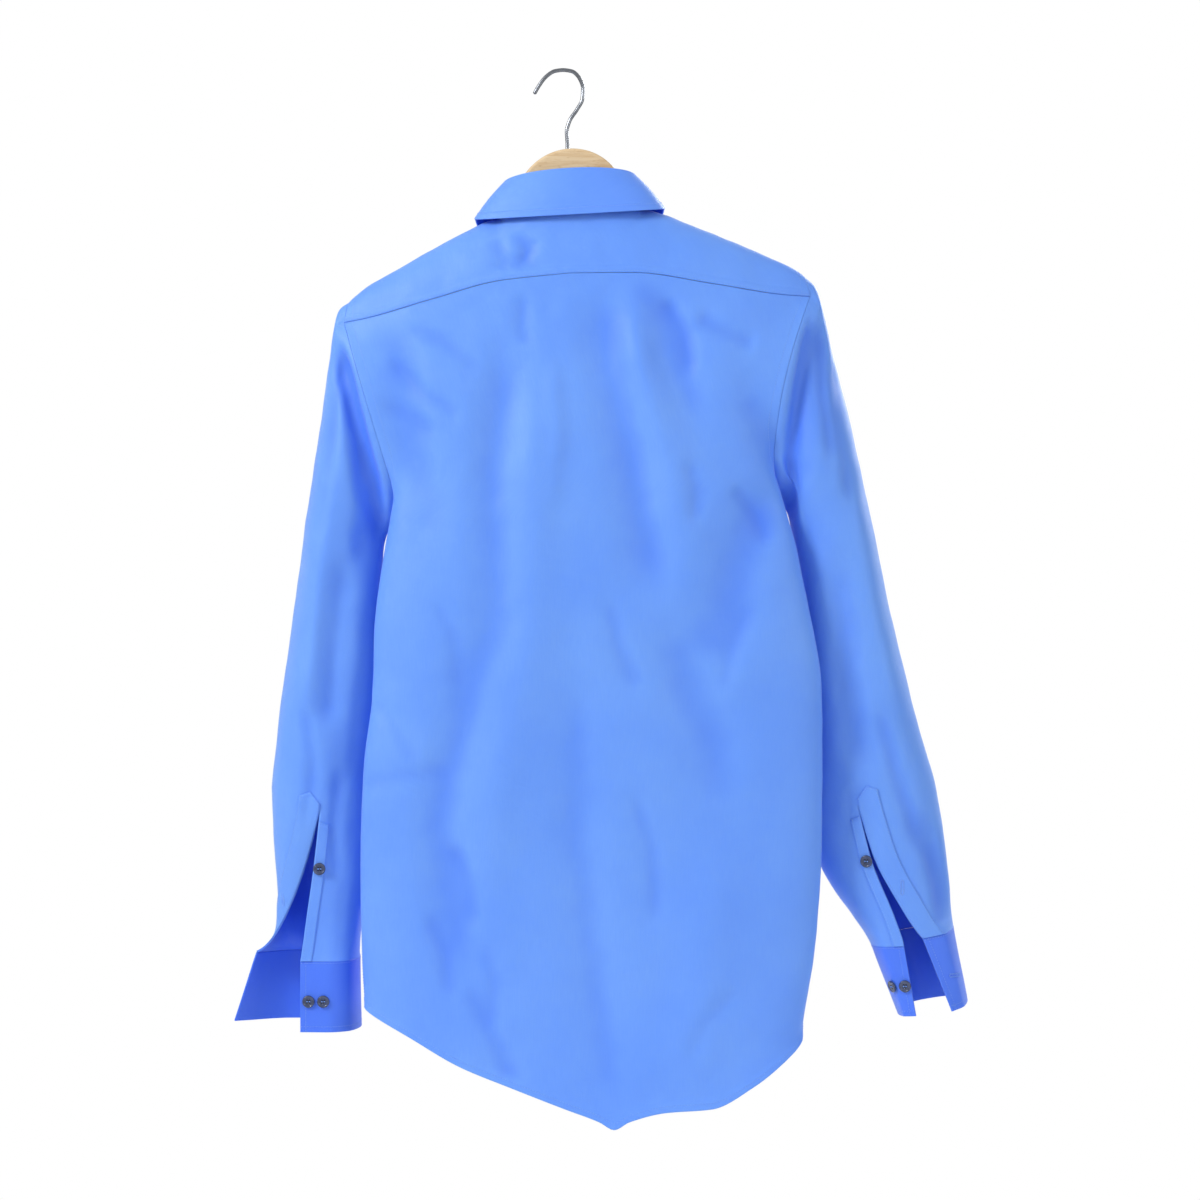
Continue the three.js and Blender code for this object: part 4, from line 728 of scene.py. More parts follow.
@dataclass
class ClothGrid:
    """A grid of cloth points with its outward normals, in mm.

    Attributes:
        points: Points shaped (rows, columns, 3).
        outward: 1 where rows crossed with columns point outwards, else -1.
        joined: The last row that closes round a tube, or -1 for a flat piece.
    """

    points: Array
    outward: int = 1
    joined: int = -1
    normals: Array = field(init=False)

    def __post_init__(self) -> None:
        """Work out the normals from the grid's own differences."""
        down = np.gradient(self.points, axis=0)
        across = np.gradient(self.points, axis=1)
        if self.joined >= 0:
            turn = self.points[: self.joined + 1]
            across[: self.joined + 1, 0] = (turn[:, 1] - turn[:, -2]) / 2
            across[: self.joined + 1, -1] = across[: self.joined + 1, 0]
        self.normals = unit(np.cross(down, across)) * self.outward

    @classmethod
    def from_function(cls, rows: Array, columns: Array, at: Callable[[Array, Array], Array],
                      outward: int = 1, joined: int = -1) -> "ClothGrid":
        """Sample a function of two parameters on all rows and columns."""
        r, c = np.meshgrid(rows, columns, indexing="ij")
        points = at(r.ravel(), c.ravel()).reshape(r.shape + (3,))
        return cls(points, outward, joined)

    def down_mm(self) -> Array:
        """Give each point's distance down its column from the first row."""
        return lengths(self.points)

    def across_mm(self) -> Array:
        """Give each point's distance along its row from the first column."""
        return lengths(self.points.swapaxes(0, 1)).T

    def from_edge(self, edge: Edge) -> Array:
        """Give each point's distance from one edge, in mm."""
        if edge in (Edge.TOP, Edge.BOTTOM):
            down = self.down_mm()
            return down if edge is Edge.TOP else down[-1:] - down
        across = self.across_mm()
        return across if edge is Edge.FIRST else across[:, -1:] - across

    def move_out(self, amount: Array) -> None:
        """Move the points along their normals by amounts in mm and refresh the normals."""
        self.points = self.points + self.normals * amount[..., None]
        self.__post_init__()

    def soften(self, passes: int) -> None:
        """Ease sharp bends away from the edges: each point moves to its neighbours' mean.

        Args:
            passes: How often to do it; twenty passes blur over about 8 mm.
        """
        hold = np.ones(self.points.shape[:2])
        for edge in Edge:
            hold = hold * smooth(self.from_edge(edge) / SOFTEN_HOLD)
        p = self.points
        for _ in range(passes):
            mean = p.copy()
            mean[1:-1] = (p[:-2] + 2 * p[1:-1] + p[2:]) / 4
            mean[:, 1:-1] = (mean[:, :-2] + 2 * mean[:, 1:-1] + mean[:, 2:]) / 4
            p = lerp(p, mean, hold[..., None])
        self.points = p
        self.__post_init__()

    def sample(self, row: Array, column: Array, out: float) -> tuple[Array, Array]:
        """Read points and normals between the grid's own, moved out by a distance.

        Args:
            row: Row numbers with fractions.
            column: Column numbers with fractions.
            out: Distance along the normal, in mm.

        Returns:
            The points and their normals.
        """
        i = np.clip(np.floor(row).astype(int), 0, self.points.shape[0] - 2)
        j = np.clip(np.floor(column).astype(int), 0, self.points.shape[1] - 2)
        s, t = (row - i)[..., None], (column - j)[..., None]

        def blend(g: Array) -> Array:
            """Mix the four corners of each cell."""
            return lerp(lerp(g[i, j], g[i, j + 1], t), lerp(g[i + 1, j], g[i + 1, j + 1], t), s)

        normals = unit(blend(self.normals))
        return blend(self.points) + normals * out, normals

    def column_at(self, edge: Edge, rows: Array, distance: Array) -> Array:
        """Find the column number at distances along rows from the first or last column."""
        run = self.from_edge(edge)[np.round(rows).astype(int)]
        if edge is Edge.LAST:
            run = run[:, ::-1]
        i = np.clip((run[:, None, :] <= distance[..., None]).sum(-1) - 1, 0, run.shape[1] - 2)
        n = np.arange(len(run))[:, None]
        t = (distance - run[n, i]) / (run[n, i + 1] - run[n, i])
        column = i + t
        return run.shape[1] - 1 - column if edge is Edge.LAST else column

    def line_at(self, edge: Edge, distance: float, start: float = 0.0,
                stop: float = 1.0) -> tuple[Array, Array]:
        """Give a line that runs along one edge at a distance, with its normals.

        Args:
            edge: The edge that the line follows.
            distance: How far in from the edge, in mm.
            start: Share of the edge at which the line starts.
            stop: Share at which it ends.

        Returns:
            Points and normals on the surface.
        """
        rows, columns = self.points.shape[:2]
        if edge in (Edge.FIRST, Edge.LAST):
            row = np.arange(round(start * (rows - 1)), round(stop * (rows - 1)) + 1)
            column = self.column_at(edge, row, np.full((len(row), 1), distance))[:, 0]
            return self.sample(row, column, 0)
        run = self.from_edge(edge)
        if edge is Edge.BOTTOM:
            run = run[::-1]
        column = np.arange(round(start * (columns - 1)), round(stop * (columns - 1)) + 1)
        own = run[:, column]
        i = np.clip((own <= distance).sum(axis=0) - 1, 0, rows - 2)
        n = np.arange(len(column))
        row = i + (distance - own[i, n]) / (own[i + 1, n] - own[i, n])
        return self.sample(rows - 1 - row if edge is Edge.BOTTOM else row, column, 0)


def quads_of(index: Array) -> Array:
    """Give the four corner numbers of each cell of a grid of numbers."""
    return np.stack([index[:-1, :-1], index[1:, :-1], index[1:, 1:], index[:-1, 1:]], -1)


def make_mesh(name: str, points: Array, faces: Array | list, uv: Array | None = None,
              values: dict[str, Array] | None = None) -> bpy.types.Object:
    """Put points and faces into a new object that is shaded smooth.

    Args:
        name: The piece's name.
        points: Points in mm, shaped (n, 3).
        faces: Corner numbers, one row or list a face.
        uv: The corners' places in the piece's own map, in metres, shaped (corners, 2).
        values: Named values, one a point.

    Returns:
        The new object, at the origin.
    """
    mesh = bpy.data.meshes.new(name)
    corners = faces.tolist() if isinstance(faces, Array) else faces
    mesh.from_pydata((points * MM).tolist(), [], corners)
    if uv is not None:
        layer = mesh.uv_layers.new(name="cloth")
        layer.data.foreach_set("uv", uv.astype(np.float32).ravel())
    for key, value in (values or {}).items():
        attribute = mesh.attributes.new(key, "FLOAT", "POINT")
        attribute.data.foreach_set("value", value.astype(np.float32).ravel())
    mesh.polygons.foreach_set("use_smooth", np.ones(len(mesh.polygons), bool))
    mesh.update()
    piece = bpy.data.objects.new(name, mesh)
    bpy.context.scene.collection.objects.link(piece)
    return piece


def cloth_wall(name: str, grid: ClothGrid, thick: float,
               fold_shade: Array | None = None) -> bpy.types.Object:
    """Make a closed cloth wall: the grid's skin, a skin inside it and rims between them.

    The inner skin is the outer one moved in by the thickness. A tube's first and last
    columns share their points down to its last closed row.

    Args:
        name: The piece's name.
        grid: The outer skin.
        thick: The wall, in mm.
        fold_shade: How much painted shade each point takes in the folds, from 0 to 1.

    Returns:
        The piece.
    """
    rows, columns = grid.points.shape[:2]
    index = np.arange(rows * columns).reshape(rows, columns)
    index[: grid.joined + 1, -1] = index[: grid.joined + 1, 0]
    outer = grid.points.reshape(-1, 3)
    inner = outer - grid.normals.reshape(-1, 3) * thick
    flat = np.stack([grid.across_mm(), grid.down_mm()], -1) * MM
    shift = rows * columns
    quads = quads_of(index).reshape(-1, 4)
    quad_uv = flat.reshape(-1, 2)[quads_of(np.arange(shift).reshape(rows, columns))]
    quad_uv = quad_uv.reshape(-1, 4, 2)
    start = max(grid.joined, 0)
    rims = [
        (index[0, 1:], index[0, :-1], flat[0, 1:], flat[0, :-1]),
        (index[-1, :-1], index[-1, 1:], flat[-1, :-1], flat[-1, 1:]),
        (index[start:-1, 0], index[start + 1:, 0], flat[start:-1, 0], flat[start + 1:, 0]),
        (index[start + 1:, -1], index[start:-1, -1], flat[start + 1:, -1], flat[start:-1, -1]),
    ]
    faces, maps = [quads, quads[:, ::-1] + shift], [quad_uv, quad_uv[:, ::-1]]
    for p, q, uv_p, uv_q in rims:
        faces.append(np.stack([p, p + shift, q + shift, q], -1))
        maps.append(np.stack([uv_p, uv_p, uv_q, uv_q], -2))
    all_faces, all_maps = np.concatenate(faces), np.concatenate(maps)
    if grid.outward < 0:
        all_faces, all_maps = all_faces[:, ::-1], all_maps[:, ::-1]
    used = np.unique(all_faces)
    fresh = np.full(2 * shift, -1)
    fresh[used] = np.arange(len(used))
    depth = np.zeros(shift) if fold_shade is None else fold_shade.ravel()
    inside = np.concatenate([np.zeros(shift), np.ones(shift)])
    # Painted shade: both skins carry the fold shade, and the inner skin is marked to be painted
    # darker.
    values = {"fold_shade": np.concatenate([depth, depth])[used], "inside": inside[used]}
    points = np.concatenate([outer, inner])[used]
    return make_mesh(name, points, fresh[all_faces], all_maps.reshape(-1, 2), values)


STITCH_PITCH = 2.6  # ten stitches an inch
STITCH_LONG = 1.9
STITCH_WIDE = 0.5
STITCH_HIGH = 0.28


def stitches(name: str, lines: Sequence[tuple[Array, Array]]) -> bpy.types.Object:
    """Sew lockstitch along lines: each stitch is a small lozenge of eight faces.

    A line is cut into equal steps by its length. A stitch has a point at each end on its
    tangent, one at each side, one above and one below.

    Args:
        name: The piece's name.
        lines: Points and normals of each line.

    Returns:
        One piece that holds all the stitches.
    """
    middles, tangents, ups = [], [], []
    for points, normals in lines:
        run = lengths(points)
        count = max(int(run[-1] / STITCH_PITCH), 1)
        at = (np.arange(count) + 0.5) * run[-1] / count

        def along(values: Array, where: Array) -> Array:
            """Read points on the line at lengths along it."""
            return np.stack([np.interp(where, run, values[:, k]) for k in range(3)], -1)

        middles.append(along(points, at))
        tangents.append(unit(along(points, at + 0.5) - along(points, at - 0.5)))
        ups.append(unit(along(normals, at)))
    c, t, n = np.concatenate(middles), np.concatenate(tangents), np.concatenate(ups)
    b = np.cross(n, t)
    corners = np.stack([
        c + t * STITCH_LONG / 2, c + b * STITCH_WIDE / 2, c - t * STITCH_LONG / 2,
        c - b * STITCH_WIDE / 2, c + n * STITCH_HIGH, c - n * STITCH_HIGH,
    ], axis=1)
    pattern = np.array([[0, 1, 4], [1, 2, 4], [2, 3, 4], [3, 0, 4],
                        [1, 0, 5], [2, 1, 5], [3, 2, 5], [0, 3, 5]])
    faces = (np.arange(len(c))[:, None, None] * 6 + pattern).reshape(-1, 3)
    return make_mesh(name, corners.reshape(-1, 3), faces)


def tube(points: Array, radius: Array, sides: int) -> tuple[Array, Array]:
    """Carry a circle along a line in the plane y = 0 and close both ends with a fan.

    Args:
        points: The line, shaped (n, 3).
        radius: The circle's radius at each point.
        sides: Corners of the circle.

    Returns:
        Points and triangle faces.
    """
    tangent = unit(np.gradient(points, axis=0))
    side = np.broadcast_to(np.array([0.0, 1.0, 0.0]), tangent.shape)
    up = np.cross(side, tangent)
    angle = np.linspace(0, 2 * math.pi, sides, endpoint=False)
    turn = angle[None, :, None]
    ring = side[:, None] * np.cos(turn) + up[:, None] * np.sin(turn)
    body = (points[:, None] + ring * radius[:, None, None]).reshape(-1, 3)
    i, j = np.meshgrid(np.arange(len(points) - 1), np.arange(sides), indexing="ij")
    a, b = i * sides + j, i * sides + (j + 1) % sides
    quads = np.stack([a, a + sides, b + sides, b], -1).reshape(-1, 4)
    faces = np.concatenate([quads[:, [0, 1, 2]], quads[:, [0, 2, 3]]])
    k = np.arange(sides)
    first, last = len(body), len(body) + 1
    end = (len(points) - 1) * sides
    caps = np.concatenate([
        np.stack([np.full(sides, first), k, (k + 1) % sides], -1),
        np.stack([np.full(sides, last), end + (k + 1) % sides, end + k], -1),
    ])
    return np.concatenate([body, points[:1], points[-1:]]), np.concatenate([faces, caps])


def face_out(piece: bpy.types.Object) -> None:
    """Merge a piece's doubled points and turn its faces outwards."""
    shape = bmesh.new()
    shape.from_mesh(piece.data)
    bmesh.ops.remove_doubles(shape, verts=shape.verts, dist=1e-6)
    bmesh.ops.recalc_face_normals(shape, faces=shape.faces)
    shape.to_mesh(piece.data)
    shape.free()
    piece.data.update()


def linear(code: str) -> tuple[float, float, float, float]:
    """Turn an sRGB hex colour into linear values."""
    parts = [int(code[i:i + 2], 16) / 255 for i in (1, 3, 5)]
    red, green, blue = (c / 12.92 if c <= 0.04045 else ((c + 0.055) / 1.055) ** 2.4 for c in parts)
    return red, green, blue, 1.0


def feed(tree: bpy.types.NodeTree, node: bpy.types.Node, inputs: dict[str, object]) -> None:
    """Set or link a node's inputs.

    Args:
        tree: The nodes.
        node: The node to feed.
        inputs: Socket names, with underscores for spaces, or in_ and the socket's number, each
            with a value or an output socket.
    """
    for key, value in inputs.items():
        by_place = key.startswith("in_")
        socket = node.inputs[int(key[3:])] if by_place else node.inputs[key.replace("_", " ")]
        if isinstance(value, bpy.types.NodeSocket):
            tree.links.new(value, socket)
        else:
            socket.default_value = value


def add_node(tree: bpy.types.NodeTree, kind: str, settings: dict[str, object] | None = None,
             **inputs: object) -> bpy.types.Node:
    """Add a node, set its properties and feed its inputs.

    Args:
        tree: The nodes.
        kind: The node's type, without the ShaderNode that they all start with.
        settings: Its properties by name.
        **inputs: What feed takes.

    Returns:
        The node.
    """
    node = tree.nodes.new("ShaderNode" + kind)
    for key, value in (settings or {}).items():
        setattr(node, key, value)
    feed(tree, node, inputs)
    return node


class Recipe:
    """A material in the making: a Principled shader and short ways to feed it."""

    def __init__(self, name: str) -> None:
        """Start with only the shader and its output."""
        self.material = bpy.data.materials.new(name)
        self.material.use_nodes = True
        self.tree = self.material.node_tree
        self.tree.nodes.clear()
        self.shader = self.add("BsdfPrincipled")
        self.add("OutputMaterial", Surface=self.shader.outputs["BSDF"])
        self.place = self.add("TexCoord").outputs["Object"]

    def add(self, kind: str, settings: dict[str, object] | None = None,
            **inputs: object) -> bpy.types.Node:
        """Add a node to the recipe."""
        return add_node(self.tree, kind, settings, **inputs)

    def noise(self, scale: float, at: Socket | None = None, **inputs: float) -> Socket:
        """Add cloudy noise at a place, or else on the piece's own coordinates."""
        where = self.place if at is None else at
        return self.add("TexNoise", Vector=where, Scale=scale, **inputs).outputs["Fac"]

    def wave(self, bands: str, scale: float, at: Socket | None = None,
             **inputs: float) -> Socket:
        """Add bands across a direction, placed like noise."""
        where = self.place if at is None else at
        return self.add("TexWave", {"bands_direction": bands}, Vector=where, Scale=scale,
                        **inputs).outputs["Fac"]

    def stretch(self, scale: tuple[float, float, float], at: Socket | None = None) -> Socket:
        """Scale coordinates by a different factor on each axis."""
        where = self.place if at is None else at
        return self.add("Mapping", Vector=where, Scale=scale).outputs["Vector"]

    def spread(self, value: Socket, **limits: float) -> Socket:
        """Map a value from one range to another."""
        return self.add("MapRange", Value=value, **limits).outputs[0]

    def blend(self, share: Socket, first: Socket | str, second: Socket | str) -> Socket:
        """Mix two colours, which are sockets or hex codes."""
        a, b = (linear(c) if isinstance(c, str) else c for c in (first, second))
        return self.add("Mix", {"data_type": "RGBA"}, in_0=share, in_6=a, in_7=b).outputs[2]

    def bump(self, height: Socket, strength: float, distance: float,
             **inputs: Socket) -> Socket:
        """Turn a height in metres times a distance into a normal."""
        return self.add("Bump", Height=height, Strength=strength, Distance=distance,
                        **inputs).outputs["Normal"]

    def mark(self, name: str) -> Socket:
        """Read a value that the piece carries at its points."""
        return self.add("Attribute", {"attribute_name": name}).outputs["Fac"]

    def finish(self, **inputs: object) -> bpy.types.Material:
        """Feed the shader by its sockets' names and give the material."""
        feed(self.tree, self.shader, inputs)
        return self.material


class Weave(Enum):
    """How a cloth is built up. The value is how deep its small creases are, in metres."""

    SINGLE = 0.0010
    INTERLINED = 0.0004


@dataclass(frozen=True)
class CottonSateen:
    """Blue cotton sateen: fine combed yarn, woven with long floats, dyed and calendered.

    The floats give the eye a soft lustre and no visible threads at arm's length.
    """

    name: str
    weave: Weave
    face: str = "#6C9EF6"
    shade: str = "#5287F6"
    # painted shade: the deeper blue painted into the folds
    crease_shade: str = "#3A6DEB"
    # painted shade: the darker blue painted on the inner skin
    inner: str = "#3F70EC"
    yarn_mm: float = 0.6  # real yarn is 0.2 mm apart, drawn coarser so that it can show

    def make(self) -> bpy.types.Material:
        """Build the material: weave, uneven dye, and painted shade: deeper colour in the folds and
        on the inner skin.
        """
        cloth = Recipe(self.name)
        uv = cloth.add("UVMap", {"uv_map": "cloth"}).outputs["UV"]
        bands = 2 * math.pi / 20 / (self.yarn_mm * MM)  # 20 bands fit in a full turn of scale 1
        warp = cloth.wave("X", bands, uv, Distortion=0.6, Detail=1.0)
        weft = cloth.wave("Y", bands * 0.8, uv, Distortion=0.6, Detail=1.0)
        thread = cloth.add("Math", {"operation": "MULTIPLY"}, in_0=warp, in_1=weft).outputs[0]
        slub = cloth.noise(1.0, cloth.stretch((900.0, 60.0, 1.0), uv), Detail=3.0)
        dye = cloth.noise(9.0, Detail=4.0, Roughness=0.55)
        dyed = cloth.spread(dye, From_Min=0.35, From_Max=0.65, To_Min=0.0, To_Max=0.35)
        slubbed = cloth.spread(slub, From_Min=0.3, From_Max=0.7, To_Min=0.0, To_Max=0.16)
        colour = cloth.blend(dyed, self.face, self.shade)
        colour = cloth.blend(slubbed, colour, self.shade)
        # Painted shade: the folds are painted deeper blue, by how deep in a fold each point lies.
        colour = cloth.blend(cloth.mark("fold_shade"), colour, self.crease_shade)
        # Painted shade: the inner skin is painted darker blue.
        colour = cloth.blend(cloth.mark("inside"), colour, self.inner)
        crumb = cloth.noise(55.0, Detail=5.0, Roughness=0.6)
        creased = cloth.bump(crumb, 0.55, self.weave.value)
        return cloth.finish(
            Base_Color=colour,
            Roughness=cloth.spread(slub, To_Min=0.42, To_Max=0.56),
            Normal=cloth.bump(thread, 0.35, 0.00012, Normal=creased),
            Specular_IOR_Level=0.35,
            Sheen_Weight=0.18,
            Sheen_Roughness=0.4,
            Subsurface_Weight=0.35,
            Subsurface_Radius=(0.6, 0.8, 1.0),
            Subsurface_Scale=0.002,
        )


@dataclass(frozen=True)
class SewingThread:
    """Blue spun polyester thread: two plies twisted, dyed near the cloth's shade."""

    name: str = "spun polyester thread"
    dyed: str = "#5C92F2"
    lit: str = "#86B2FF"

    def make(self) -> bpy.types.Material:
        """Build the material: the plies' twist as a fine slanted bump."""
        twist = Recipe(self.name)
        ply = twist.wave("DIAGONAL", 900.0, Distortion=1.0)
        return twist.finish(
            Base_Color=twist.blend(ply, self.dyed, self.lit),
            Normal=twist.bump(ply, 0.5, 0.00008),
            Roughness=0.5,
            Sheen_Weight=0.3,
        )


@dataclass(frozen=True)
class SmokyResin:
    """Smoky polyester resin, cast in sheets, turned and tumbled: swirls under a gloss."""

    name: str = "smoky cast polyester resin"
    dark: str = "#1C2438"
    pale: str = "#44527A"

    def make(self) -> bpy.types.Material:
        """Build the material: swirled clouds under a clear gloss."""
        resin = Recipe(self.name)
        cloud = resin.noise(260.0, Detail=3.0, Distortion=1.6)
        return resin.finish(
            Base_Color=resin.blend(cloud, self.dark, self.pale),
            Roughness=resin.spread(cloud, To_Min=0.16, To_Max=0.32),
            IOR=1.55,
            Coat_Weight=0.4,
        )


@dataclass(frozen=True)
class PaleWood:
    """Pale beech board, sawn flat, rounded at the edges, sanded and sprayed with lacquer."""

    name: str = "lacquered pale beech"
    light: str = "#DCC39C"
    grain: str = "#C09B6B"
    fleck: str = "#A98255"

    def make(self) -> bpy.types.Material:
        """Build the material: long grain along the board, short flecks and a satin coat."""
        wood = Recipe(self.name)
        rings = wood.noise(3.0, wood.stretch((5.0, 60.0, 60.0)), Detail=6.0, Roughness=0.6,
                           Distortion=0.8)
        fleck = wood.noise(1.0, wood.stretch((160.0, 900.0, 900.0)), Detail=2.0)
        grain = wood.spread(rings, From_Min=0.35, From_Max=0.7)
        flecked = wood.spread(fleck, From_Min=0.6, From_Max=0.75, To_Max=0.5)
        board = wood.blend(grain, self.light, self.grain)
        return wood.finish(
            Base_Color=wood.blend(flecked, board, self.fleck),
            Normal=wood.bump(fleck, 0.3, 0.0001),
            Roughness=wood.spread(rings, To_Min=0.38, To_Max=0.5),
            Coat_Weight=0.25,
            Coat_Roughness=0.3,
        )


@dataclass(frozen=True)
class SteelWire:
    """Drawn steel wire, bent cold and nickel plated: dark mirror with fine draw lines."""

    name: str = "nickel plated steel wire"
    bright: str = "#9A9EA4"
    dull: str = "#6C7077"

    def make(self) -> bpy.types.Material:
        """Build the material: worn metal with draw lines and small dull spots."""
        steel = Recipe(self.name)
        spots = steel.noise(220.0, Detail=4.0)
        drawn = steel.wave("Y", 1400.0, Distortion=2.0)
        return steel.finish(
            Base_Color=steel.blend(spots, self.bright, self.dull),
            Normal=steel.bump(drawn, 0.2, 0.00003),
            Roughness=steel.spread(spots, To_Min=0.18, To_Max=0.36),
            Metallic=1.0,
        )


@dataclass(frozen=True)
class StudioPaper:
    """Matt white studio paper, unrolled under the shirt."""

    name: str = "matt studio paper"
    colour: str = "#F4F4F2"

    def make(self) -> bpy.types.Material:
        """Build the material: a faint paper tooth."""
        paper = Recipe(self.name)
        return paper.finish(
            Base_Color=linear(self.colour),
            Normal=paper.bump(paper.noise(400.0), 0.1, 0.0002),
            Roughness=0.9,
        )


@dataclass(frozen=True)
class Finishes:
    """The materials that the pieces share, each made once."""

    sateen: bpy.types.Material
    interlined_shaded: bpy.types.Material
    thread: bpy.types.Material
    resin: bpy.types.Material
    wood: bpy.types.Material
    wire: bpy.types.Material

    @classmethod
    def make(cls) -> "Finishes":
        """Make each material."""
        return cls(
            CottonSateen("blue cotton sateen", Weave.SINGLE).make(),
            # The cuffs' copy: its darker face and shade colours are partly painted shade, as the
            # cuffs are lit differently, and partly the cuff cloth's own tone.
            CottonSateen("interlined blue sateen", Weave.INTERLINED, "#4D7CF0",
                         "#4370E6").make(),
            SewingThread().make(), SmokyResin().make(), PaleWood().make(),
            SteelWire().make(),
        )


def settle(piece: bpy.types.Object, material: bpy.types.Material, slot: str,
           *nodes: str) -> bpy.types.Object:
    """Dress a piece, let it ride on the body and hide the solids that it stands for."""
    piece.data.materials.clear()
    piece.data.materials.append(material)
    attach(piece, "root")
    if nodes:
        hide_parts(*nodes)
    log.info("%s: %d faces", piece.name, len(piece.data.polygons))
    return piece


def fine_relief(grid: ClothGrid, folds: Sequence[Fold], creases: Sequence[Fold],
                seed: int) -> Array:
    """Work the small creases into a panel, which stays in place along its sewn edges.

    Args:
        grid: The panel, which is moved by its creases.
        folds: The main folds, which its points have already.
        creases: The small creases.
        seed: Picks the crumple's waves.

    Returns:
        How much painted shade each point takes, by how deep in a fold it lies, from 0 to 1.
    """
    if grid.joined < 0:
        grid.soften(SOFTEN_PASSES)
    x, z = grid.points[..., 0], grid.points[..., 2]
    facing = grid.normals[..., 1]
    fade = smooth(np.abs(facing) * 2.5)
    coarse = COARSE_DEEP * crumple(x, z, COARSE_SIZE, seed)
    uneven = coarse + SMALL_DEEP * crumple(x, z, SMALL_SIZE, seed + 1)
    small = folds_at(creases, facing, x, z) * fade + uneven
    top, bottom, first, last = (smooth(grid.from_edge(edge) / SEWN_HOLD) for edge in Edge)
    above = smooth((grid.joined - np.arange(len(x))) / 8)[:, None]
    small = small * (top * bottom) * lerp(first * last, 1.0, above)
    grid.move_out(small)
    # The painted fold shade, from the depth of the main folds and the small creases.
    return np.clip(-(folds_at(folds, facing, x, z) * fade * 0.04 + small * 0.12) - 0.08, 0, 0.6)


def welt(distance: Array, height: float = 0.45, wide: float = 6.8) -> Array:
    """Raise a felled seam or hem: flat for its width from the edge, then a soft step down."""
    return height * (1 - smooth((distance - wide) / 0.9)) * smooth(distance / 0.9 + 0.25)


LOOP = 22  # intervals of the solids' armhole loop
LOOP_FRONT, LOOP_YOKE, LOOP_AGAIN = 4, 11, 19  # where its front, yoke and second back begin


def armhole_loop(side: int, column: Array) -> tuple[Array, Array]:
    """Give the armhole's edge in the sleeve's order, with its angles on the sleeve's ring.

    It runs down the back to the armpit, up the front, over the yoke and down the back again.

    Args:
        side: 1 for the left armhole and -1 for the right.
        column: Places round the loop, from 0 to LOOP.

    Returns:
        Points and angles.
    """
    first, last = armhole_angle(SEAM_END_Z, 0), armhole_angle(FRONT_SEAM_END_Z, 0)
    points = np.empty(column.shape + (3,))
    angle = np.empty(column.shape)
    edge = 0.0 if side > 0 else float(BACK_COLUMNS)
    on_front = (column > LOOP_FRONT) & (column < LOOP_YOKE)
    on_yoke = (column >= LOOP_YOKE) & (column <= LOOP_AGAIN)
    on_back = ~on_front & ~on_yoke
    turned = column[on_back] > LOOP_AGAIN
    row = np.where(turned, column[on_back] - LOOP_AGAIN, column[on_back] + SLIT_FROM)
    points[on_back] = back_at(armhole_down(SEAM_END_Z, row), np.full(row.shape, edge))
    angle[on_back] = armhole_angle(SEAM_END_Z, row) + 2 * math.pi * turned
    row = LOOP_YOKE - column[on_front]
    points[on_front] = front_at(side)(armhole_down(FRONT_SEAM_END_Z, row), np.zeros(row.shape))
    angle[on_front] = 2 * math.pi - armhole_angle(FRONT_SEAM_END_Z, row)
    share = (column[on_yoke] - LOOP_YOKE) / YOKE_ROWS
    points[on_yoke] = yoke_grid_at(1 - share, np.full(share.shape, edge))
    angle[on_yoke] = lerp(2 * math.pi - last, 2 * math.pi + first, share)
    return points, angle


def sleeve_ring(name: str, place: Array, angle: Array) -> Array:
    """Give points of a sleeve's rings.

    Angle 0 is the outer line, a quarter turn the back, half a turn the inner line and three
    quarters the front. The line between outer and inner bulges as a power of the sine.

    Args:
        name: Which sleeve.
        place: Places down the sleeve, from 0 to 1.
        angle: Angles round the ring.

    Returns:
        The points.
    """
    values = [read(SLEEVES[name], column, place) for column in range(1, 10)]
    out_x, out_z, in_x, in_z, out_y, in_y, bulge_back, bulge_front, taper = values
    inward = (1 - np.cos(angle)) / 2
    s = np.sin(angle)
    bulge = np.where(s > 0, bulge_back, bulge_front) * (1 - taper * inward)
    x, z, middle = (lerp(out, inner, inward)
                    for out, inner in ((out_x, in_x), (out_z, in_z), (out_y, in_y)))
    power = lerp(1.3, 1.0, smooth(place / 0.3))
    y = middle + np.sign(s) * bulge * np.abs(s) ** power
    depth = folds_at(SLEEVE_FOLDS, s, x, z)
    y = y + np.sign(s) * depth * smooth(np.abs(s) * 1.4) * smooth(place / 0.05)
    return np.stack([x, y, z], axis=-1)


def cuff_at(name: str) -> Callable[[Array, Array], Array]:
    """Give the function of one cuff's points; above 0 it goes on straight up."""

    def at(down: Array, share: Array) -> Array:
        """Give points at shares down and round the cuff."""
        table = CUFFS[name]
        held = np.clip(share, 0, 1)
        top = np.stack([read(table, k, held) for k in (1, 2, 3)], -1)
        bottom = np.stack([read(table, k, held) for k in (4, 5, 6)], -1)
        return lerp(top, bottom, down[:, None])

    return at


def sleeve_at(name: str, side: int) -> Callable[[Array, Array], Array]:
    """Give the function of one sleeve's points.

    Its top follows the armhole's edge, and below the slit it opens out to its cuff.
    """
    cuff = cuff_at(name)

    def at(place: Array, column: Array) -> Array:
        """Give points at places down the sleeve and columns round it."""
        edge, own = armhole_loop(side, column)
        even = SLIT_ANGLE[name] + 2 * math.pi * column / LOOP
        first = sleeve_ring(name, np.zeros(place.shape), own)
        points = sleeve_ring(name, place, lerp(own, even, smooth(place / 0.3)))
        points = points + (edge - first) * (1 - smooth(place / 0.22))[:, None]
        opened = np.clip((place - SLIT_TOP) / (1 - SLIT_TOP), 0, 1) ** 1.2
        return lerp(points, cuff((place - 1) * 2, column / LOOP), opened[:, None])

    return at


def declare(grid: ClothGrid,
            extras: Sequence[bpy.types.Object]) -> None:
    """Measure a cloth piece's longest row and column; nothing is done with them."""
    wide, long = float(grid.across_mm().max()) * MM, float(grid.down_mm().max()) * MM


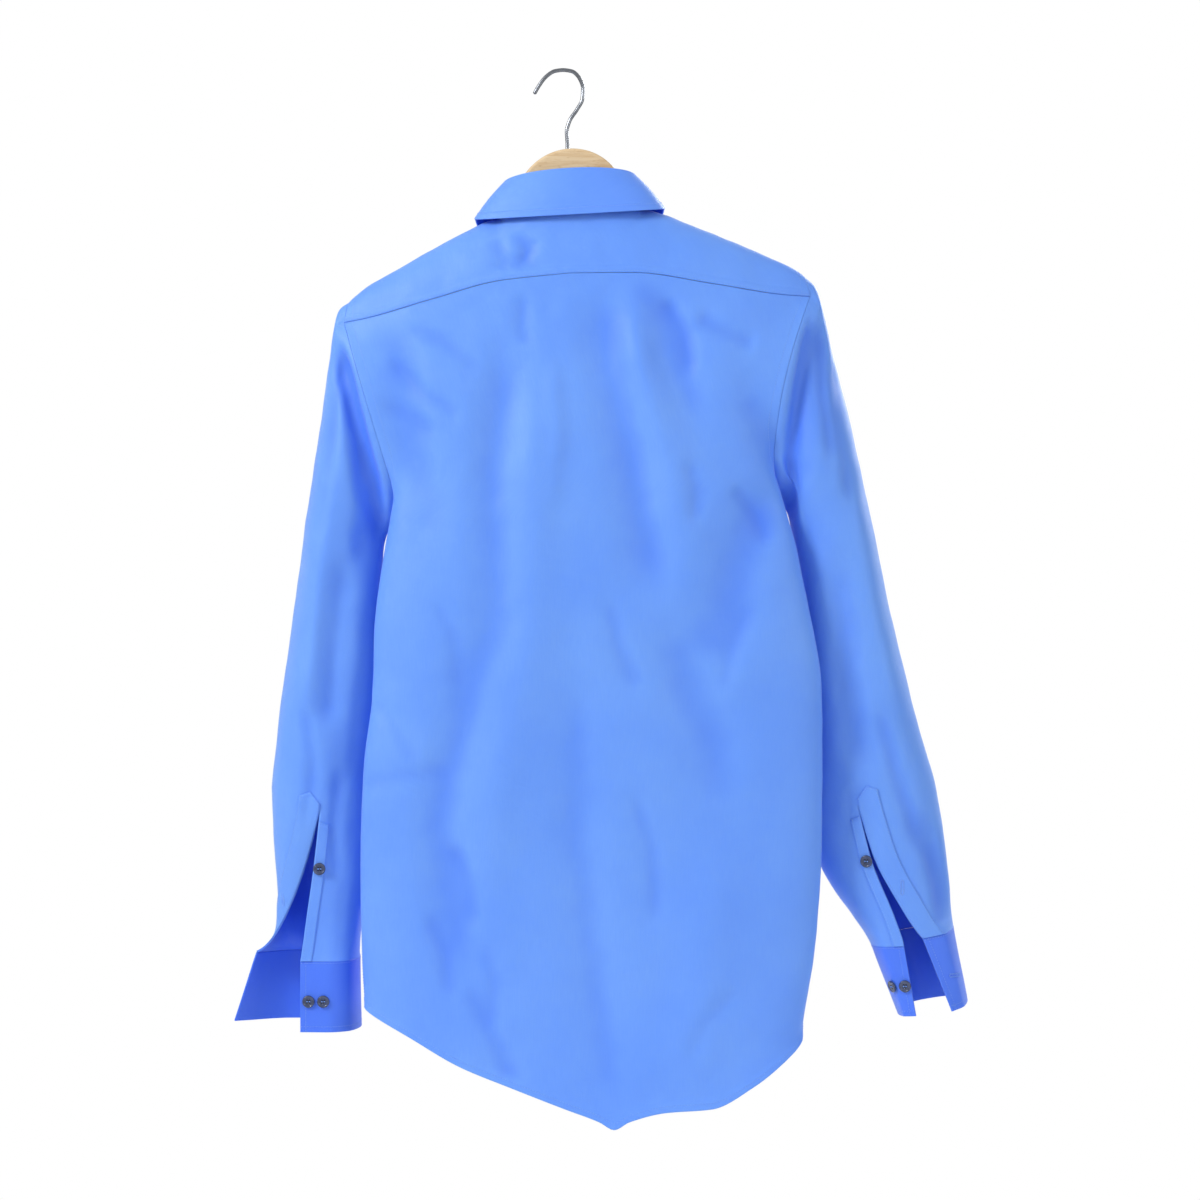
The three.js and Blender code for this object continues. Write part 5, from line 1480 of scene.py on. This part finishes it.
def lay_strip(grid: ClothGrid, edge: Edge, width: float, first_row: int,
              point: float = 0.0) -> ClothGrid:
    """Lay a strip on a piece along one side, with a straight or pointed upper end.

    Args:
        grid: The piece under it.
        edge: The side it follows.
        width: Its width, in mm.
        first_row: The row of the piece at which it starts.
        point: How many rows its middle stands above its corners.

    Returns:
        The strip's outer skin.
    """
    rows = np.arange(first_row, len(grid.points), dtype=float)
    rows[-1] -= 0.02
    across = np.linspace(0.02, 1.0, 13)
    if edge is Edge.LAST:
        across = across[::-1]
    distance = np.broadcast_to(across * width, (len(rows), len(across)))
    column = grid.column_at(edge, rows, distance)
    fall = point * np.abs(across * 2 - 1)[None, :]
    share = np.linspace(1, 0, len(rows))[:, None]
    points, _ = grid.sample(rows[:, None] + fall * share, column, STRIP_LIFT + STRIP_THICK)
    return ClothGrid(points, grid.outward)


def nearest(grid: ClothGrid, node: str) -> tuple[Array, Array]:
    """Find the place on a surface nearest to the middle of a solid, with its normal."""
    low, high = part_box(node)
    target = (np.array(low) + np.array(high)) / 2 / MM
    gap = np.linalg.norm(grid.points - target, axis=2)
    i, j = np.unravel_index(np.argmin(gap), gap.shape)
    return grid.points[i, j], grid.normals[i, j]


def plane_of(normal: Array, down: Array) -> tuple[Array, Array]:
    """Give two directions across a normal, the second one as near as can be to down."""
    along = unit(down - normal * np.dot(down, normal))
    return np.cross(along, normal), along


DOWN = np.array([0.0, 0.0, -1.0])


@dataclass(frozen=True)
class ButtonSize:
    """A four-hole shirt button, in mm."""

    radius: float = 5.6
    thick: float = 2.4
    hole_ring: float = 1.55
    hole: float = 0.72
    hole_deep: float = 1.5
    shank: float = 0.35  # how far the thread holds it off the cloth
    profile: tuple[tuple[float, float], ...] = (
        (0, 0), (0.86, 0), (0.97, 0.22), (1, 0.5), (0.97, 0.8), (0.88, 1), (0.76, 0.96),
        (0.68, 0.8), (0, 0.76),
    )


@dataclass
class ButtonMaker:
    """Turns buttons, seats them and sews them on."""

    finishes: Finishes
    size: ButtonSize = ButtonSize()

    def holes(self) -> Array:
        """Give the four holes' middles, as shares across and along."""
        turn = np.arange(4) * math.pi / 2 + math.pi / 4
        return np.stack([np.cos(turn), np.sin(turn)], -1) * self.size.hole_ring

    def turn(self) -> tuple[Array, Array, Array]:
        """Turn the button: a profile swept round, less a pit for each hole.

        A pit is deep times e to the minus (distance over the hole's radius) to the fourth.

        Returns:
            Distances across, along and up, shaped (profile, angles).
        """
        control = np.array(self.size.profile)
        run = lengths(control)
        at = np.concatenate([np.linspace(0, run[1], 4)[:-1], np.linspace(run[1], run[-2], 18)[:-1],
                             np.linspace(run[-2], run[-1], 26)])
        radius = np.interp(at, run, control[:, 0]) * self.size.radius
        height = np.interp(at, run, control[:, 1]) * self.size.thick
        angle = np.linspace(0, 2 * math.pi, 65)
        a, b = radius[:, None] * np.cos(angle), radius[:, None] * np.sin(angle)
        on_top = (np.arange(len(at)) > 20)[:, None]
        up = np.broadcast_to(height[:, None], a.shape).copy()
        for x, y in self.holes():
            gap = np.hypot(a - x, b - y) / self.size.hole
            up -= on_top * self.size.hole_deep * np.exp(-(gap ** 4))
        return a, b, up

    def seat(self, node: str, grid: ClothGrid) -> tuple[Array, Array]:
        """Make the button that stands for a solid, seated on a surface.

        Args:
            node: The solid's name.
            grid: The surface it is sewn to.

        Returns:
            The button's middle and normal.
        """
        middle, normal = nearest(grid, node)
        across, along = plane_of(normal, DOWN)
        a, b, up = self.turn()
        lift = self.size.shank
        points = (middle + a[..., None] * across + b[..., None] * along
                  + (up + lift)[..., None] * normal)
        rows, columns = a.shape
        index = np.arange(rows * columns).reshape(rows, columns)
        piece = make_mesh(f"{node}_disc", points.reshape(-1, 3), quads_of(index).reshape(-1, 4))
        face_out(piece)
        settle(piece, self.finishes.resin, "button", node)
        top = lift + self.size.thick * 0.8
        strands = []
        reach = self.size.hole_ring / math.sqrt(2)
        for side in (-1, 1):
            for shift in (-0.35, 0.0, 0.35):
                centre = middle + across * (side * reach + shift) + normal * top
                ends = np.stack([centre - along * reach, centre + along * reach])
                strands.append((ends, np.stack([normal, normal])))
        sewn = stitches(f"{node}_thread", strands)
        settle(sewn, self.finishes.thread, "cloth")
        return middle, normal


def buttonhole(middle: Array, normal: Array, along: Array,
               length: float = 13.0) -> list[tuple[Array, Array]]:
    """Work a buttonhole: two close rows of bites and a bar at each end.

    Args:
        middle: Its middle on the cloth.
        normal: The cloth's normal there.
        along: The direction of the slit.
        length: The slit's length, in mm.

    Returns:
        The bites as short lines with their normals.
    """
    across = np.cross(normal, along)
    bites = []
    for shift in np.arange(-length / 2, length / 2 + 0.01, 0.55):
        for side in (-1, 1):
            inner = middle + along * shift + across * side * 0.35
            ends = np.stack([inner, inner + across * side * 1.7])
            bites.append((ends, np.stack([normal, normal])))
    for end in (-1, 1):
        for shift in (-0.4, 0.0, 0.4):
            centre = middle + along * (end * length / 2 + shift)
            ends = np.stack([centre - across * 1.6, centre + across * 1.6])
            bites.append((ends, np.stack([normal, normal])))
    return bites


@dataclass(frozen=True)
class SeamSizes:
    """Distances of the topstitching from the edges, in mm."""

    edge: float = 1.6
    felled: float = 6.2
    hem: float = 6.0
    armhole: float = 8.0
    band: float = 5.0


@dataclass
class Tailor:
    """Cuts and sews cloth pieces in the shared materials."""

    finishes: Finishes
    seams: SeamSizes = SeamSizes()

    def cut(self, name: str, grid: ClothGrid, node: str, thick: float = CLOTH_THICK,
            fold_shade: Array | None = None) -> bpy.types.Object:
        """Make a piece of cloth that stands for a node."""
        piece = cloth_wall(name, grid, thick, fold_shade)
        return settle(piece, self.finishes.sateen, "cloth", node)

    def sew(self, name: str, lines: Sequence[tuple[Array, Array]]) -> bpy.types.Object:
        """Sew all the lines of one piece."""
        return settle(stitches(name, lines), self.finishes.thread, "cloth")


def side_to_side(count: int, length: float) -> Array:
    """Give a panel's columns, with places added near both of its side edges."""
    return with_marks(np.linspace(0, count, count * FINE + 1), length, EDGE_MARKS, EDGE_MARKS)


@dataclass
class Body(Tailor):
    """The back, the yoke, both fronts and the button band.

    Lengths and widths only tell how far apart places for seams are, so they are rounded.
    """

    back_long: float = 720.0
    back_wide: float = 430.0
    yoke_long: float = 170.0
    front_long: float = 700.0
    front_wide: float = 260.0
    band_wide: float = 34.0
    button_count: int = 6

    def build(self, buttons: ButtonMaker) -> None:
        """Cut, sew and button the body.

        Args:
            buttons: Makes the six front buttons.
        """
        self._back()
        self._yoke()
        self._front("front_left", 1, buttons)
        self._front("front_right", -1, None)

    def _panel_share(self, rows: Array, start_z: float) -> float:
        """Give the share of a panel's rows at which its armhole ends."""
        return float(np.searchsorted(rows, armhole_down(start_z, ARMHOLE_ROWS)) / (len(rows) - 1))

    def _back(self) -> None:
        """Make the back panel with its felled side seams and turned hem."""
        rows = with_marks(panel_rows(SEAM_END_Z), self.back_long, EDGE_MARKS, WELT_MARKS)
        columns = side_to_side(BACK_COLUMNS, self.back_wide)
        grid = ClothGrid.from_function(rows, columns, back_at)
        fold_shade = fine_relief(grid, BODY_FOLDS, FINE_CREASES, SEEDS["back"])
        grid.move_out(welt(grid.from_edge(Edge.BOTTOM)))
        piece = self.cut("back_cloth", grid, "back", fold_shade=fold_shade)
        pit = self._panel_share(rows, SEAM_END_Z)
        lines = [grid.line_at(Edge.BOTTOM, self.seams.hem)]
        for edge in (Edge.FIRST, Edge.LAST):
            lines.append(grid.line_at(edge, self.seams.armhole, 0.0, pit))
            lines.append(grid.line_at(edge, self.seams.edge, pit, 1.0))
            lines.append(grid.line_at(edge, self.seams.felled, pit, 1.0))
        declare(grid, [self.sew("back_stitches", lines)])

    def _yoke(self) -> None:
        """Make the yoke, whose lower edge is folded under and laps the back."""
        rows = with_marks(np.linspace(1, 0, YOKE_ROWS * FINE + 1), self.yoke_long, WELT_MARKS,
                          WELT_MARKS)
        columns = side_to_side(BACK_COLUMNS, self.back_wide)
        grid = ClothGrid.from_function(rows, columns, yoke_grid_at)
        fold_shade = fine_relief(grid, BODY_FOLDS, FINE_CREASES, SEEDS["yoke"])
        grid.move_out(welt(grid.from_edge(Edge.BOTTOM), 0.6, 5.0))
        piece = self.cut("yoke_cloth", grid, "yoke", fold_shade=fold_shade)
        seam_share = SHOULDER_COLUMNS / BACK_COLUMNS
        lines = [
            grid.line_at(Edge.BOTTOM, self.seams.edge),
            grid.line_at(Edge.TOP, self.seams.edge, 0.0, seam_share),
            grid.line_at(Edge.TOP, self.seams.edge, 1 - seam_share, 1.0),
            grid.line_at(Edge.FIRST, self.seams.armhole),
            grid.line_at(Edge.LAST, self.seams.armhole),
        ]
        declare(grid, [self.sew("yoke_stitches", lines)])

    def _front(self, node: str, side: int, buttons: ButtonMaker | None) -> None:
        """Make one front; the left one carries the button band."""
        rows = with_marks(panel_rows(FRONT_SEAM_END_Z), self.front_long, EDGE_MARKS, WELT_MARKS)
        columns = side_to_side(FRONT_COLUMNS, self.front_wide)
        grid = ClothGrid.from_function(rows, columns, front_at(side), -side)
        fold_shade = fine_relief(grid, BODY_FOLDS, FINE_CREASES, SEEDS["front"] + side)
        grid.move_out(welt(grid.from_edge(Edge.BOTTOM)))
        piece = self.cut(f"{node}_cloth", grid, node, fold_shade=fold_shade)
        pit = self._panel_share(rows, FRONT_SEAM_END_Z)
        lines = [
            grid.line_at(Edge.BOTTOM, self.seams.hem),
            grid.line_at(Edge.FIRST, self.seams.armhole, 0.0, pit),
        ]
        extras = [] if buttons is None else self._band(grid, buttons)
        declare(grid, [self.sew(f"{node}_stitches", lines), *extras])

    def _band(self, grid: ClothGrid, buttons: ButtonMaker) -> list[bpy.types.Object]:
        """Lay the button band with its buttons and buttonholes."""
        band = lay_strip(grid, Edge.LAST, self.band_wide, 0)
        piece = self.cut("front_band", band, "front_placket", STRIP_THICK)
        lines = [band.line_at(edge, self.seams.band) for edge in (Edge.FIRST, Edge.LAST)]
        for number in range(1, self.button_count + 1):
            middle, normal = buttons.seat(f"front_button_{number}", band)
            lines += buttonhole(middle, normal, plane_of(normal, DOWN)[1])
        return [piece, self.sew("front_band_stitches", lines)]


@dataclass
class Collar(Tailor):
    """The collar's stand and its turned-down leaf.

    The places are y and z of the fold line and of the leaf's lower edge: at the side, behind
    and in front.
    """

    fold_places: tuple[tuple[float, float], ...] = ((-6, -100), (17, -91), (-71, -172))
    edge_places: tuple[tuple[float, float], ...] = ((-8, -125.5), (31, -132), (-96, -236))
    fold_half: float = 56.0
    leaf_half: float = 86.0
    leaf_end: float = math.radians(172)
    point_x: float = 42.0
    crest: float = 0.12  # share of the leaf that rolls over the stand
    roll: float = 4.9  # how far the roll stands out, and below how high it rises
    rise: float = 1.3
    high: float = 33.0
    stand_round: float = 400.0
    leaf_long: float = 46.0
    leaf_round: float = 480.0
    steps_round: int = 181

    def fold_line(self, beta: Array) -> Array:
        """Give the line at which the leaf turns down, at angles round the neck."""
        c = np.cos(beta)
        behind, before = np.maximum(c, 0), np.maximum(-c, 0)
        (side_y, side_z), (back_y, back_z), (front_y, front_z) = self.fold_places
        y = np.where(c > 0, lerp(side_y, back_y, behind), lerp(side_y, front_y, before))
        z = np.where(c > 0, lerp(side_z, back_z, behind ** 0.7),
                     lerp(side_z, front_z, before ** 1.25))
        return np.stack([NECK_X + self.fold_half * np.sin(beta), y, z], -1)

    def leaf_edge(self, beta: Array) -> Array:
        """Give the leaf's lower edge: round behind, then forward to its two points."""
        c = np.cos(beta)
        behind = np.maximum(c, 0)
        t = np.maximum(c / math.cos(self.leaf_end), 0)
        reach = lerp(self.leaf_half, self.point_x, t ** 1.3)
        x = np.where(c > 0, self.leaf_half * np.sin(beta), np.sign(beta) * reach)
        (side_y, side_z), (back_y, back_z), (point_y, point_z) = self.edge_places
        y = np.where(c > 0, lerp(side_y, back_y, behind ** 0.6), lerp(side_y, point_y, t ** 0.8))
        z = np.where(c > 0, lerp(side_z, back_z, behind ** 0.5), lerp(side_z, point_z, t ** 1.2))
        return np.stack([NECK_X + x, y, z], -1)

    def stand_at(self, down: Array, beta: Array) -> Array:
        """Give points of the stand, straight from the fold line to the neckline."""
        points = lerp(self.fold_line(beta), neckline(beta), down[:, None])
        points[:, 1] += np.where(beta < 0, UNDERLAP * smooth((-beta - 2.5) / 0.4), 0)
        return tilt(points)

    def leaf_at(self, down: Array, beta: Array) -> Array:
        """Give points of the leaf: a quarter roll over the stand, then a soft belly down."""
        fold, edge = self.fold_line(beta), self.leaf_edge(beta)
        out = edge - fold
        out[:, 2] = 0
        out = unit(out)
        up = np.array([0.0, 0.0, 1.0])
        roll = np.clip(down / self.crest, 0, 1)[:, None] * math.pi / 2
        rolled = fold + out * self.roll * np.sin(roll) + up * (self.rise + self.rise * np.cos(roll))
        share = np.clip((down - self.crest) / (1 - self.crest), 0, 1)[:, None]
        shoulder = fold + out * self.roll + up * self.rise
        fallen = lerp(shoulder, edge, share) + out * 2 * np.sin(math.pi * share)
        return tilt(np.where((down < self.crest)[:, None], rolled, fallen))

    def build(self, buttons: ButtonMaker) -> None:
        """Make both pieces, sew them and button the stand.

        Args:
            buttons: Makes the collar's button.
        """
        lap = math.pi + LAP_BETA
        rows = with_marks(np.linspace(0, 1 - 1.2 / self.high, 10), self.high, EDGE_MARKS,
                          EDGE_MARKS, 0.0)
        betas = with_marks(np.linspace(lap, -lap, self.steps_round), self.stand_round, EDGE_MARKS,
                           EDGE_MARKS)
        stand = ClothGrid.from_function(rows, betas, self.stand_at)
        piece = self.cut("collar_stand_cloth", stand, "collar_stand", BAND_THICK)
        lines = [stand.line_at(Edge.BOTTOM, self.seams.edge)]
        middle, normal = buttons.seat("collar_button", stand)
        across = plane_of(normal, DOWN)[0]
        lines += buttonhole(middle, normal, across)
        declare(stand,
                [self.sew("collar_stand_stitches", lines)])

        rows = np.concatenate([np.linspace(0, self.crest, 9)[:-1],
                               np.linspace(self.crest, 1, 30)])
        rows = with_marks(rows, self.leaf_long, (), (0.5, 1.1, 5.0, 5.8, 6.6, 7.4), 0.0)
        betas = np.linspace(self.leaf_end, -self.leaf_end, self.steps_round)
        betas = with_marks(betas, self.leaf_round, EDGE_MARKS, EDGE_MARKS, 0.0)
        leaf = ClothGrid.from_function(rows, betas, self.leaf_at)
        x, z = leaf.points[..., 0], leaf.points[..., 2]
        free = smooth(leaf.from_edge(Edge.TOP) / 12)
        rolled_in = welt(leaf.from_edge(Edge.BOTTOM), 0.3, 6)
        leaf.move_out(free * 0.25 * crumple(x, z * 2, 60, SEEDS["collar"]) + rolled_in)
        piece = self.cut("collar_leaf_cloth", leaf, "collar_leaf", BAND_THICK)
        lines = [leaf.line_at(edge, self.seams.hem) for edge in FREE_EDGES]
        declare(leaf, [self.sew("collar_leaf_stitches", lines)])


@dataclass
class Sleeve(Tailor):
    """One sleeve with its slit's strips, its open cuff and their buttons."""

    name: str = "left"
    side: int = 1
    long: float = 600.0
    slit_fine: int = 6
    upper_wide: float = 21.0
    under_wide: float = 10.0
    cuff_high: float = 64.0
    cuff_round: float = 300.0
    hole_in: float = 15.0  # from the cuff's end to its buttonhole

    def build(self, buttons: ButtonMaker) -> None:
        """Make all pieces of this sleeve.

        Args:
            buttons: Makes its three buttons.
        """
        upper = SLIT_TOP * np.linspace(0, 1, SLIT_ROW * FINE * 2 + 1) ** 1.15
        lower = np.linspace(SLIT_TOP, 1, (SLEEVE_ROWS - SLIT_ROW) * self.slit_fine + 1)
        rows = with_marks(np.concatenate([upper, lower[1:]]), self.long, EDGE_MARKS, EDGE_MARKS)
        columns = np.linspace(0, LOOP, LOOP * FINE + 1)
        slit_row = int(np.argmin(np.abs(rows - SLIT_TOP)))
        grid = ClothGrid.from_function(rows, columns, sleeve_at(self.name, self.side),
                                       self.side, slit_row)
        fold_shade = fine_relief(grid, SLEEVE_FOLDS, FINE_SLEEVE_CREASES,
                             SEEDS["sleeve"] + self.side)
        piece = self.cut(f"sleeve_{self.name}_cloth", grid, f"sleeve_{self.name}", fold_shade=fold_shade)
        extras = self._strips(grid, slit_row, buttons)
        declare(grid, extras)
        self._cuff(buttons)

    def _strips(self, grid: ClothGrid, slit_row: int,
                buttons: ButtonMaker) -> list[bpy.types.Object]:
        """Lay the slit's two strips and sew them, with the button on the under one."""
        made = []
        lines = []
        for kind, edge, width, first, point in (
            ("upper", Edge.LAST, self.upper_wide, slit_row - 5, 3.0),
            ("under", Edge.FIRST, self.under_wide, slit_row + 2, 0.0),
        ):
            strip = lay_strip(grid, edge, width, first, point)
            node = f"placket_{self.name}_{kind}"
            made.append(self.cut(f"{node}_strip", strip, node, STRIP_THICK))
            for side in (Edge.FIRST, Edge.LAST, Edge.TOP):
                lines.append(strip.line_at(side, self.seams.edge))
            if kind == "under":
                buttons.seat(f"sleeve_button_{self.name}", strip)
            else:
                row, column = len(strip.points) // 2, strip.points.shape[1] // 2
                normal = strip.normals[row, column]
                lines += buttonhole(strip.points[row, column], normal, plane_of(normal, DOWN)[1])
        return [*made, self.sew(f"sleeve_{self.name}_stitches", lines)]

    def _cuff(self, buttons: ButtonMaker) -> None:
        """Make the open cuff, stitched all round, with two buttons and a buttonhole."""
        rows = with_marks(np.linspace(0, 1, 17), self.cuff_high, EDGE_MARKS,
                          (0.5, 1.1, 4.2, 5.8, 7.0))
        shares = with_marks(np.linspace(0, 1, 121), self.cuff_round, EDGE_MARKS, EDGE_MARKS)
        grid = ClothGrid.from_function(rows, shares, cuff_at(self.name), self.side)
        x, z = grid.points[..., 0], grid.points[..., 2]
        grid.move_out(0.2 * crumple(x, z, 40, SEEDS["cuff"]) * smooth(grid.from_edge(Edge.TOP) / 8))
        piece = cloth_wall(f"cuff_{self.name}_cloth", grid, BAND_THICK)
        settle(piece, self.finishes.interlined_shaded, "dense_cloth", f"cuff_{self.name}")
        lines = [grid.line_at(edge, self.seams.band) for edge in FREE_EDGES]
        lines.append(grid.line_at(Edge.TOP, self.seams.edge))
        for number in (1, 2):
            buttons.seat(f"cuff_button_{self.name}_{number}", grid)
        row = grid.points.shape[0] // 2
        column = int(grid.column_at(Edge.LAST, np.array([row]), np.array([[self.hole_in]]))[0, 0])
        normal = grid.normals[row, column]
        lines += buttonhole(grid.points[row, column], normal, plane_of(normal, DOWN)[0])
        declare(grid,
                [self.sew(f"cuff_{self.name}_stitches", lines)])


@dataclass
class Hanger:
    """A flat wooden hanger with a round neck hump and a bent wire hook."""

    finishes: Finishes
    board: float = 12.0
    rounding: float = 2.4
    hump_radius: float = 50.0
    hump_top: float = -69.0
    arm_end: float = 200.0
    arm_drop: float = 3.3  # below the shoulder line, with more at the ends and by the neck
    end_drop: float = 3.5
    neck_drop: float = 2.6
    neck_end: float = 100.0
    neck_soft: float = 26.0
    wire: float = 3.5
    smoothing: int = 3
    step: float = 1.5  # along the outline
    arm_depth: tuple[tuple[float, float], ...] = ((0, 82), (50, 42), (110, 30), (203, 18))
    path: tuple[tuple[float, float], ...] = (
        (26, -20), (22, -13), (15, -4), (7, 0.9), (0, 1.75), (-8, 0.6), (-15, -6), (-18, -15),
        (-17.5, -24), (-12.5, -34), (-6, -44), (-3.4, -54), (-4, -66), (-4, -80),
    )

    def arm_top(self, d: Array) -> Array:
        """Give the height of the arms' upper edge under the yoke."""
        end = self.end_drop * (d / self.arm_end) ** 4
        neck = self.neck_drop * smooth((self.neck_end - d) / self.neck_soft)
        return read(RIDGE, 1, d) - self.arm_drop - end - neck

    def outline(self) -> Array:
        """Draw the board's outline in even steps with its corners rounded.

        Returns:
            A closed run of x and z.
        """
        turn = np.linspace(0, 1.5, 20)
        hump = np.stack([self.hump_radius * np.sin(turn),
                         self.hump_top - self.hump_radius * (1 - np.cos(turn))], -1)
        neck = np.array([[51.5, -124], [57, -130.5], [64, -132.5]])
        d = np.linspace(72, 195, 40)
        arm = np.stack([d, self.arm_top(d)], -1)
        tip = float(self.arm_top(np.array(self.arm_end)))
        end = np.array([[self.arm_end, tip - 6], [self.arm_end, tip - 13]])
        d = np.linspace(194, 20, 50)
        under = np.stack([d, self.arm_top(d) - read(np.array(self.arm_depth), 1, d)], -1)
        half = np.concatenate([hump, neck, arm, end, under, [[0, -172]]])
        whole = np.concatenate([half, half[-2:0:-1] * [-1, 1], half[:1]])
        run = lengths(whole)
        at = np.linspace(0, run[-1], int(run[-1] / self.step), endpoint=False)
        even = np.stack([np.interp(at, run, whole[:, k]) for k in (0, 1)], -1)
        for _ in range(self.smoothing):
            even = (np.roll(even, 1, 0) + 2 * even + np.roll(even, -1, 0)) / 4
        return even

    def make_board(self) -> bpy.types.Object:
        """Round the board's edges: each ring is the outline drawn in along its own normal."""
        line = self.outline()
        tangent = unit(np.roll(line, -1, 0) - np.roll(line, 1, 0))
        inward = np.stack([tangent[:, 1], -tangent[:, 0]], -1)
        turn = np.linspace(math.pi / 2, 0, 7)
        inset = self.rounding * (1 - np.cos(turn))
        height = self.board / 2 - self.rounding * (1 - np.sin(turn))
        inset = np.concatenate([[self.rounding + 0.7], inset, inset[::-1], [self.rounding + 0.7]])
        height = np.concatenate([[self.board / 2], height, -height[::-1], [-self.board / 2]])
        flat = line[None] + inward[None] * inset[:, None, None]
        y = np.broadcast_to(height[:, None], flat.shape[:2])
        points = np.stack([flat[..., 0] + middle_at(flat[..., 0]), y, flat[..., 1]], -1)
        points = tilt(points)
        rings, around = flat.shape[:2]
        index = np.arange(rings * around).reshape(rings, around)
        beside = np.roll(index, -1, 1)
        quads = np.stack([index[:-1], beside[:-1], beside[1:], index[1:]], -1).reshape(-1, 4)
        faces = quads.tolist() + [index[0].tolist(), index[-1][::-1].tolist()]
        piece = make_mesh("hanger_board", points.reshape(-1, 3), faces)
        face_out(piece)
        for polygon in piece.data.polygons:
            if len(polygon.vertices) > 4:
                polygon.use_smooth = False
        return settle(piece, self.finishes.wood, "wood", "hanger_bar")

    def make_hook(self) -> bpy.types.Object:
        """Bend the wire: a circle carried along the hook's line, rounded at its ends."""
        control = np.array(self.path)
        run = lengths(control)
        radius = self.wire / 2
        table = np.column_stack([run, control])
        body = np.linspace(radius, run[-1] - radius, 220)
        ends = radius * (1 - np.cos(np.linspace(0.05, math.pi / 2, 9)[:-1]))
        at = np.concatenate([ends, body, run[-1] - ends[::-1]])
        points = np.stack([read(table, 1, at), np.zeros(at.shape), read(table, 2, at)], -1)
        gap = np.minimum(np.minimum(at, run[-1] - at), radius)
        wide = np.sqrt(np.maximum(radius ** 2 - (radius - gap) ** 2, 0.0004))
        body_points, faces = tube(points, wide, 28)
        piece = make_mesh("hanger_wire", body_points, faces)
        face_out(piece)
        return settle(piece, self.finishes.wire, "steel", "hanger_hook")


@dataclass(frozen=True)
class Studio:
    """White studio: a bright surround, a soft key light and a camera behind the shirt."""

    camera_at: tuple[float, float, float] = (-0.0333, 2.6, -0.4752)
    frame_high: float = 1.08
    sensor: float = 36.0
    surround: float = 0.56
    key_power: float = 52.0
    aim_z: float = -0.45
    floor_z: float = -1.5
    floor_radius: float = 2.0
    floor_corners: int = 96

    def build(self) -> None:
        """Set the camera, the lights and the floor."""
        scene = bpy.context.scene
        scene.view_settings.view_transform = "Standard"
        data = bpy.data.cameras.new("camera")
        data.sensor_width = self.sensor
        data.lens = self.sensor * self.camera_at[1] / self.frame_high
        camera = bpy.data.objects.new("camera", data)
        camera.location = self.camera_at
        camera.rotation_euler = (math.pi / 2, 0.0, math.pi)
        scene.collection.objects.link(camera)
        scene.camera = camera
        self._surround(scene)
        self._lamp("key", (1.9, 1.5, 0.9), 0.9, self.key_power)
        self._lamp("fill", (-2.0, 2.0, 0.2), 1.8, self.key_power * 0.35)
        self._lamp("front", (-1.5, -2.0, 0.7), 1.0, self.key_power * 0.8)
        self._floor()

    def _surround(self, scene: bpy.types.Scene) -> None:
        """Light the shirt from all round with white."""
        world = bpy.data.worlds.new("white surround")
        world.use_nodes = True
        tree = world.node_tree
        tree.nodes.clear()
        seen = add_node(tree, "LightPath").outputs["Is Camera Ray"]
        white = (1.0, 1.0, 1.0, 1.0)
        soft, plain = (add_node(tree, "Background", Color=white, Strength=power).outputs[0]
                       for power in (self.surround, 1.0))
        both = add_node(tree, "MixShader", in_0=seen, in_1=soft, in_2=plain)
        add_node(tree, "OutputWorld", Surface=both.outputs[0])
        scene.world = world

    def _lamp(self, name: str, place: tuple[float, float, float], size: float,
              power: float) -> None:
        """Hang one soft square lamp that faces the shirt's middle."""
        data = bpy.data.lights.new(name, "AREA")
        data.size = size
        data.energy = power
        lamp = bpy.data.objects.new(name, data)
        lamp.location = place
        to_middle = np.array([0.0, 0.0, self.aim_z]) - np.array(place)
        level = math.hypot(to_middle[0], to_middle[1])
        pitch = math.atan2(level, -to_middle[2])
        lamp.rotation_euler = (pitch, 0.0, math.atan2(-to_middle[0], to_middle[1]))
        bpy.context.scene.collection.objects.link(lamp)

    def _floor(self) -> None:
        """Lay a round sheet of studio paper well under the shirt."""
        turn = np.linspace(0, 2 * math.pi, self.floor_corners, endpoint=False)
        rim = np.stack([np.cos(turn), np.sin(turn), 0 * turn], -1) * self.floor_radius / MM
        rim[:, 2] = self.floor_z / MM
        floor = make_mesh("floor", rim, [list(range(self.floor_corners))])
        floor.data.materials.append(StudioPaper().make())


def main() -> None:
    """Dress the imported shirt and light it."""
    logging.basicConfig(level=logging.INFO, format="%(name)s %(message)s")
    finishes = Finishes.make()
    buttons = ButtonMaker(finishes)
    Body(finishes).build(buttons)
    Collar(finishes).build(buttons)
    for name, side in (("left", 1), ("right", -1)):
        Sleeve(finishes, name=name, side=side).build(buttons)
    hanger = Hanger(finishes)
    hanger.make_board()
    hanger.make_hook()
    Studio().build()


if __name__ == "__main__":
    main()
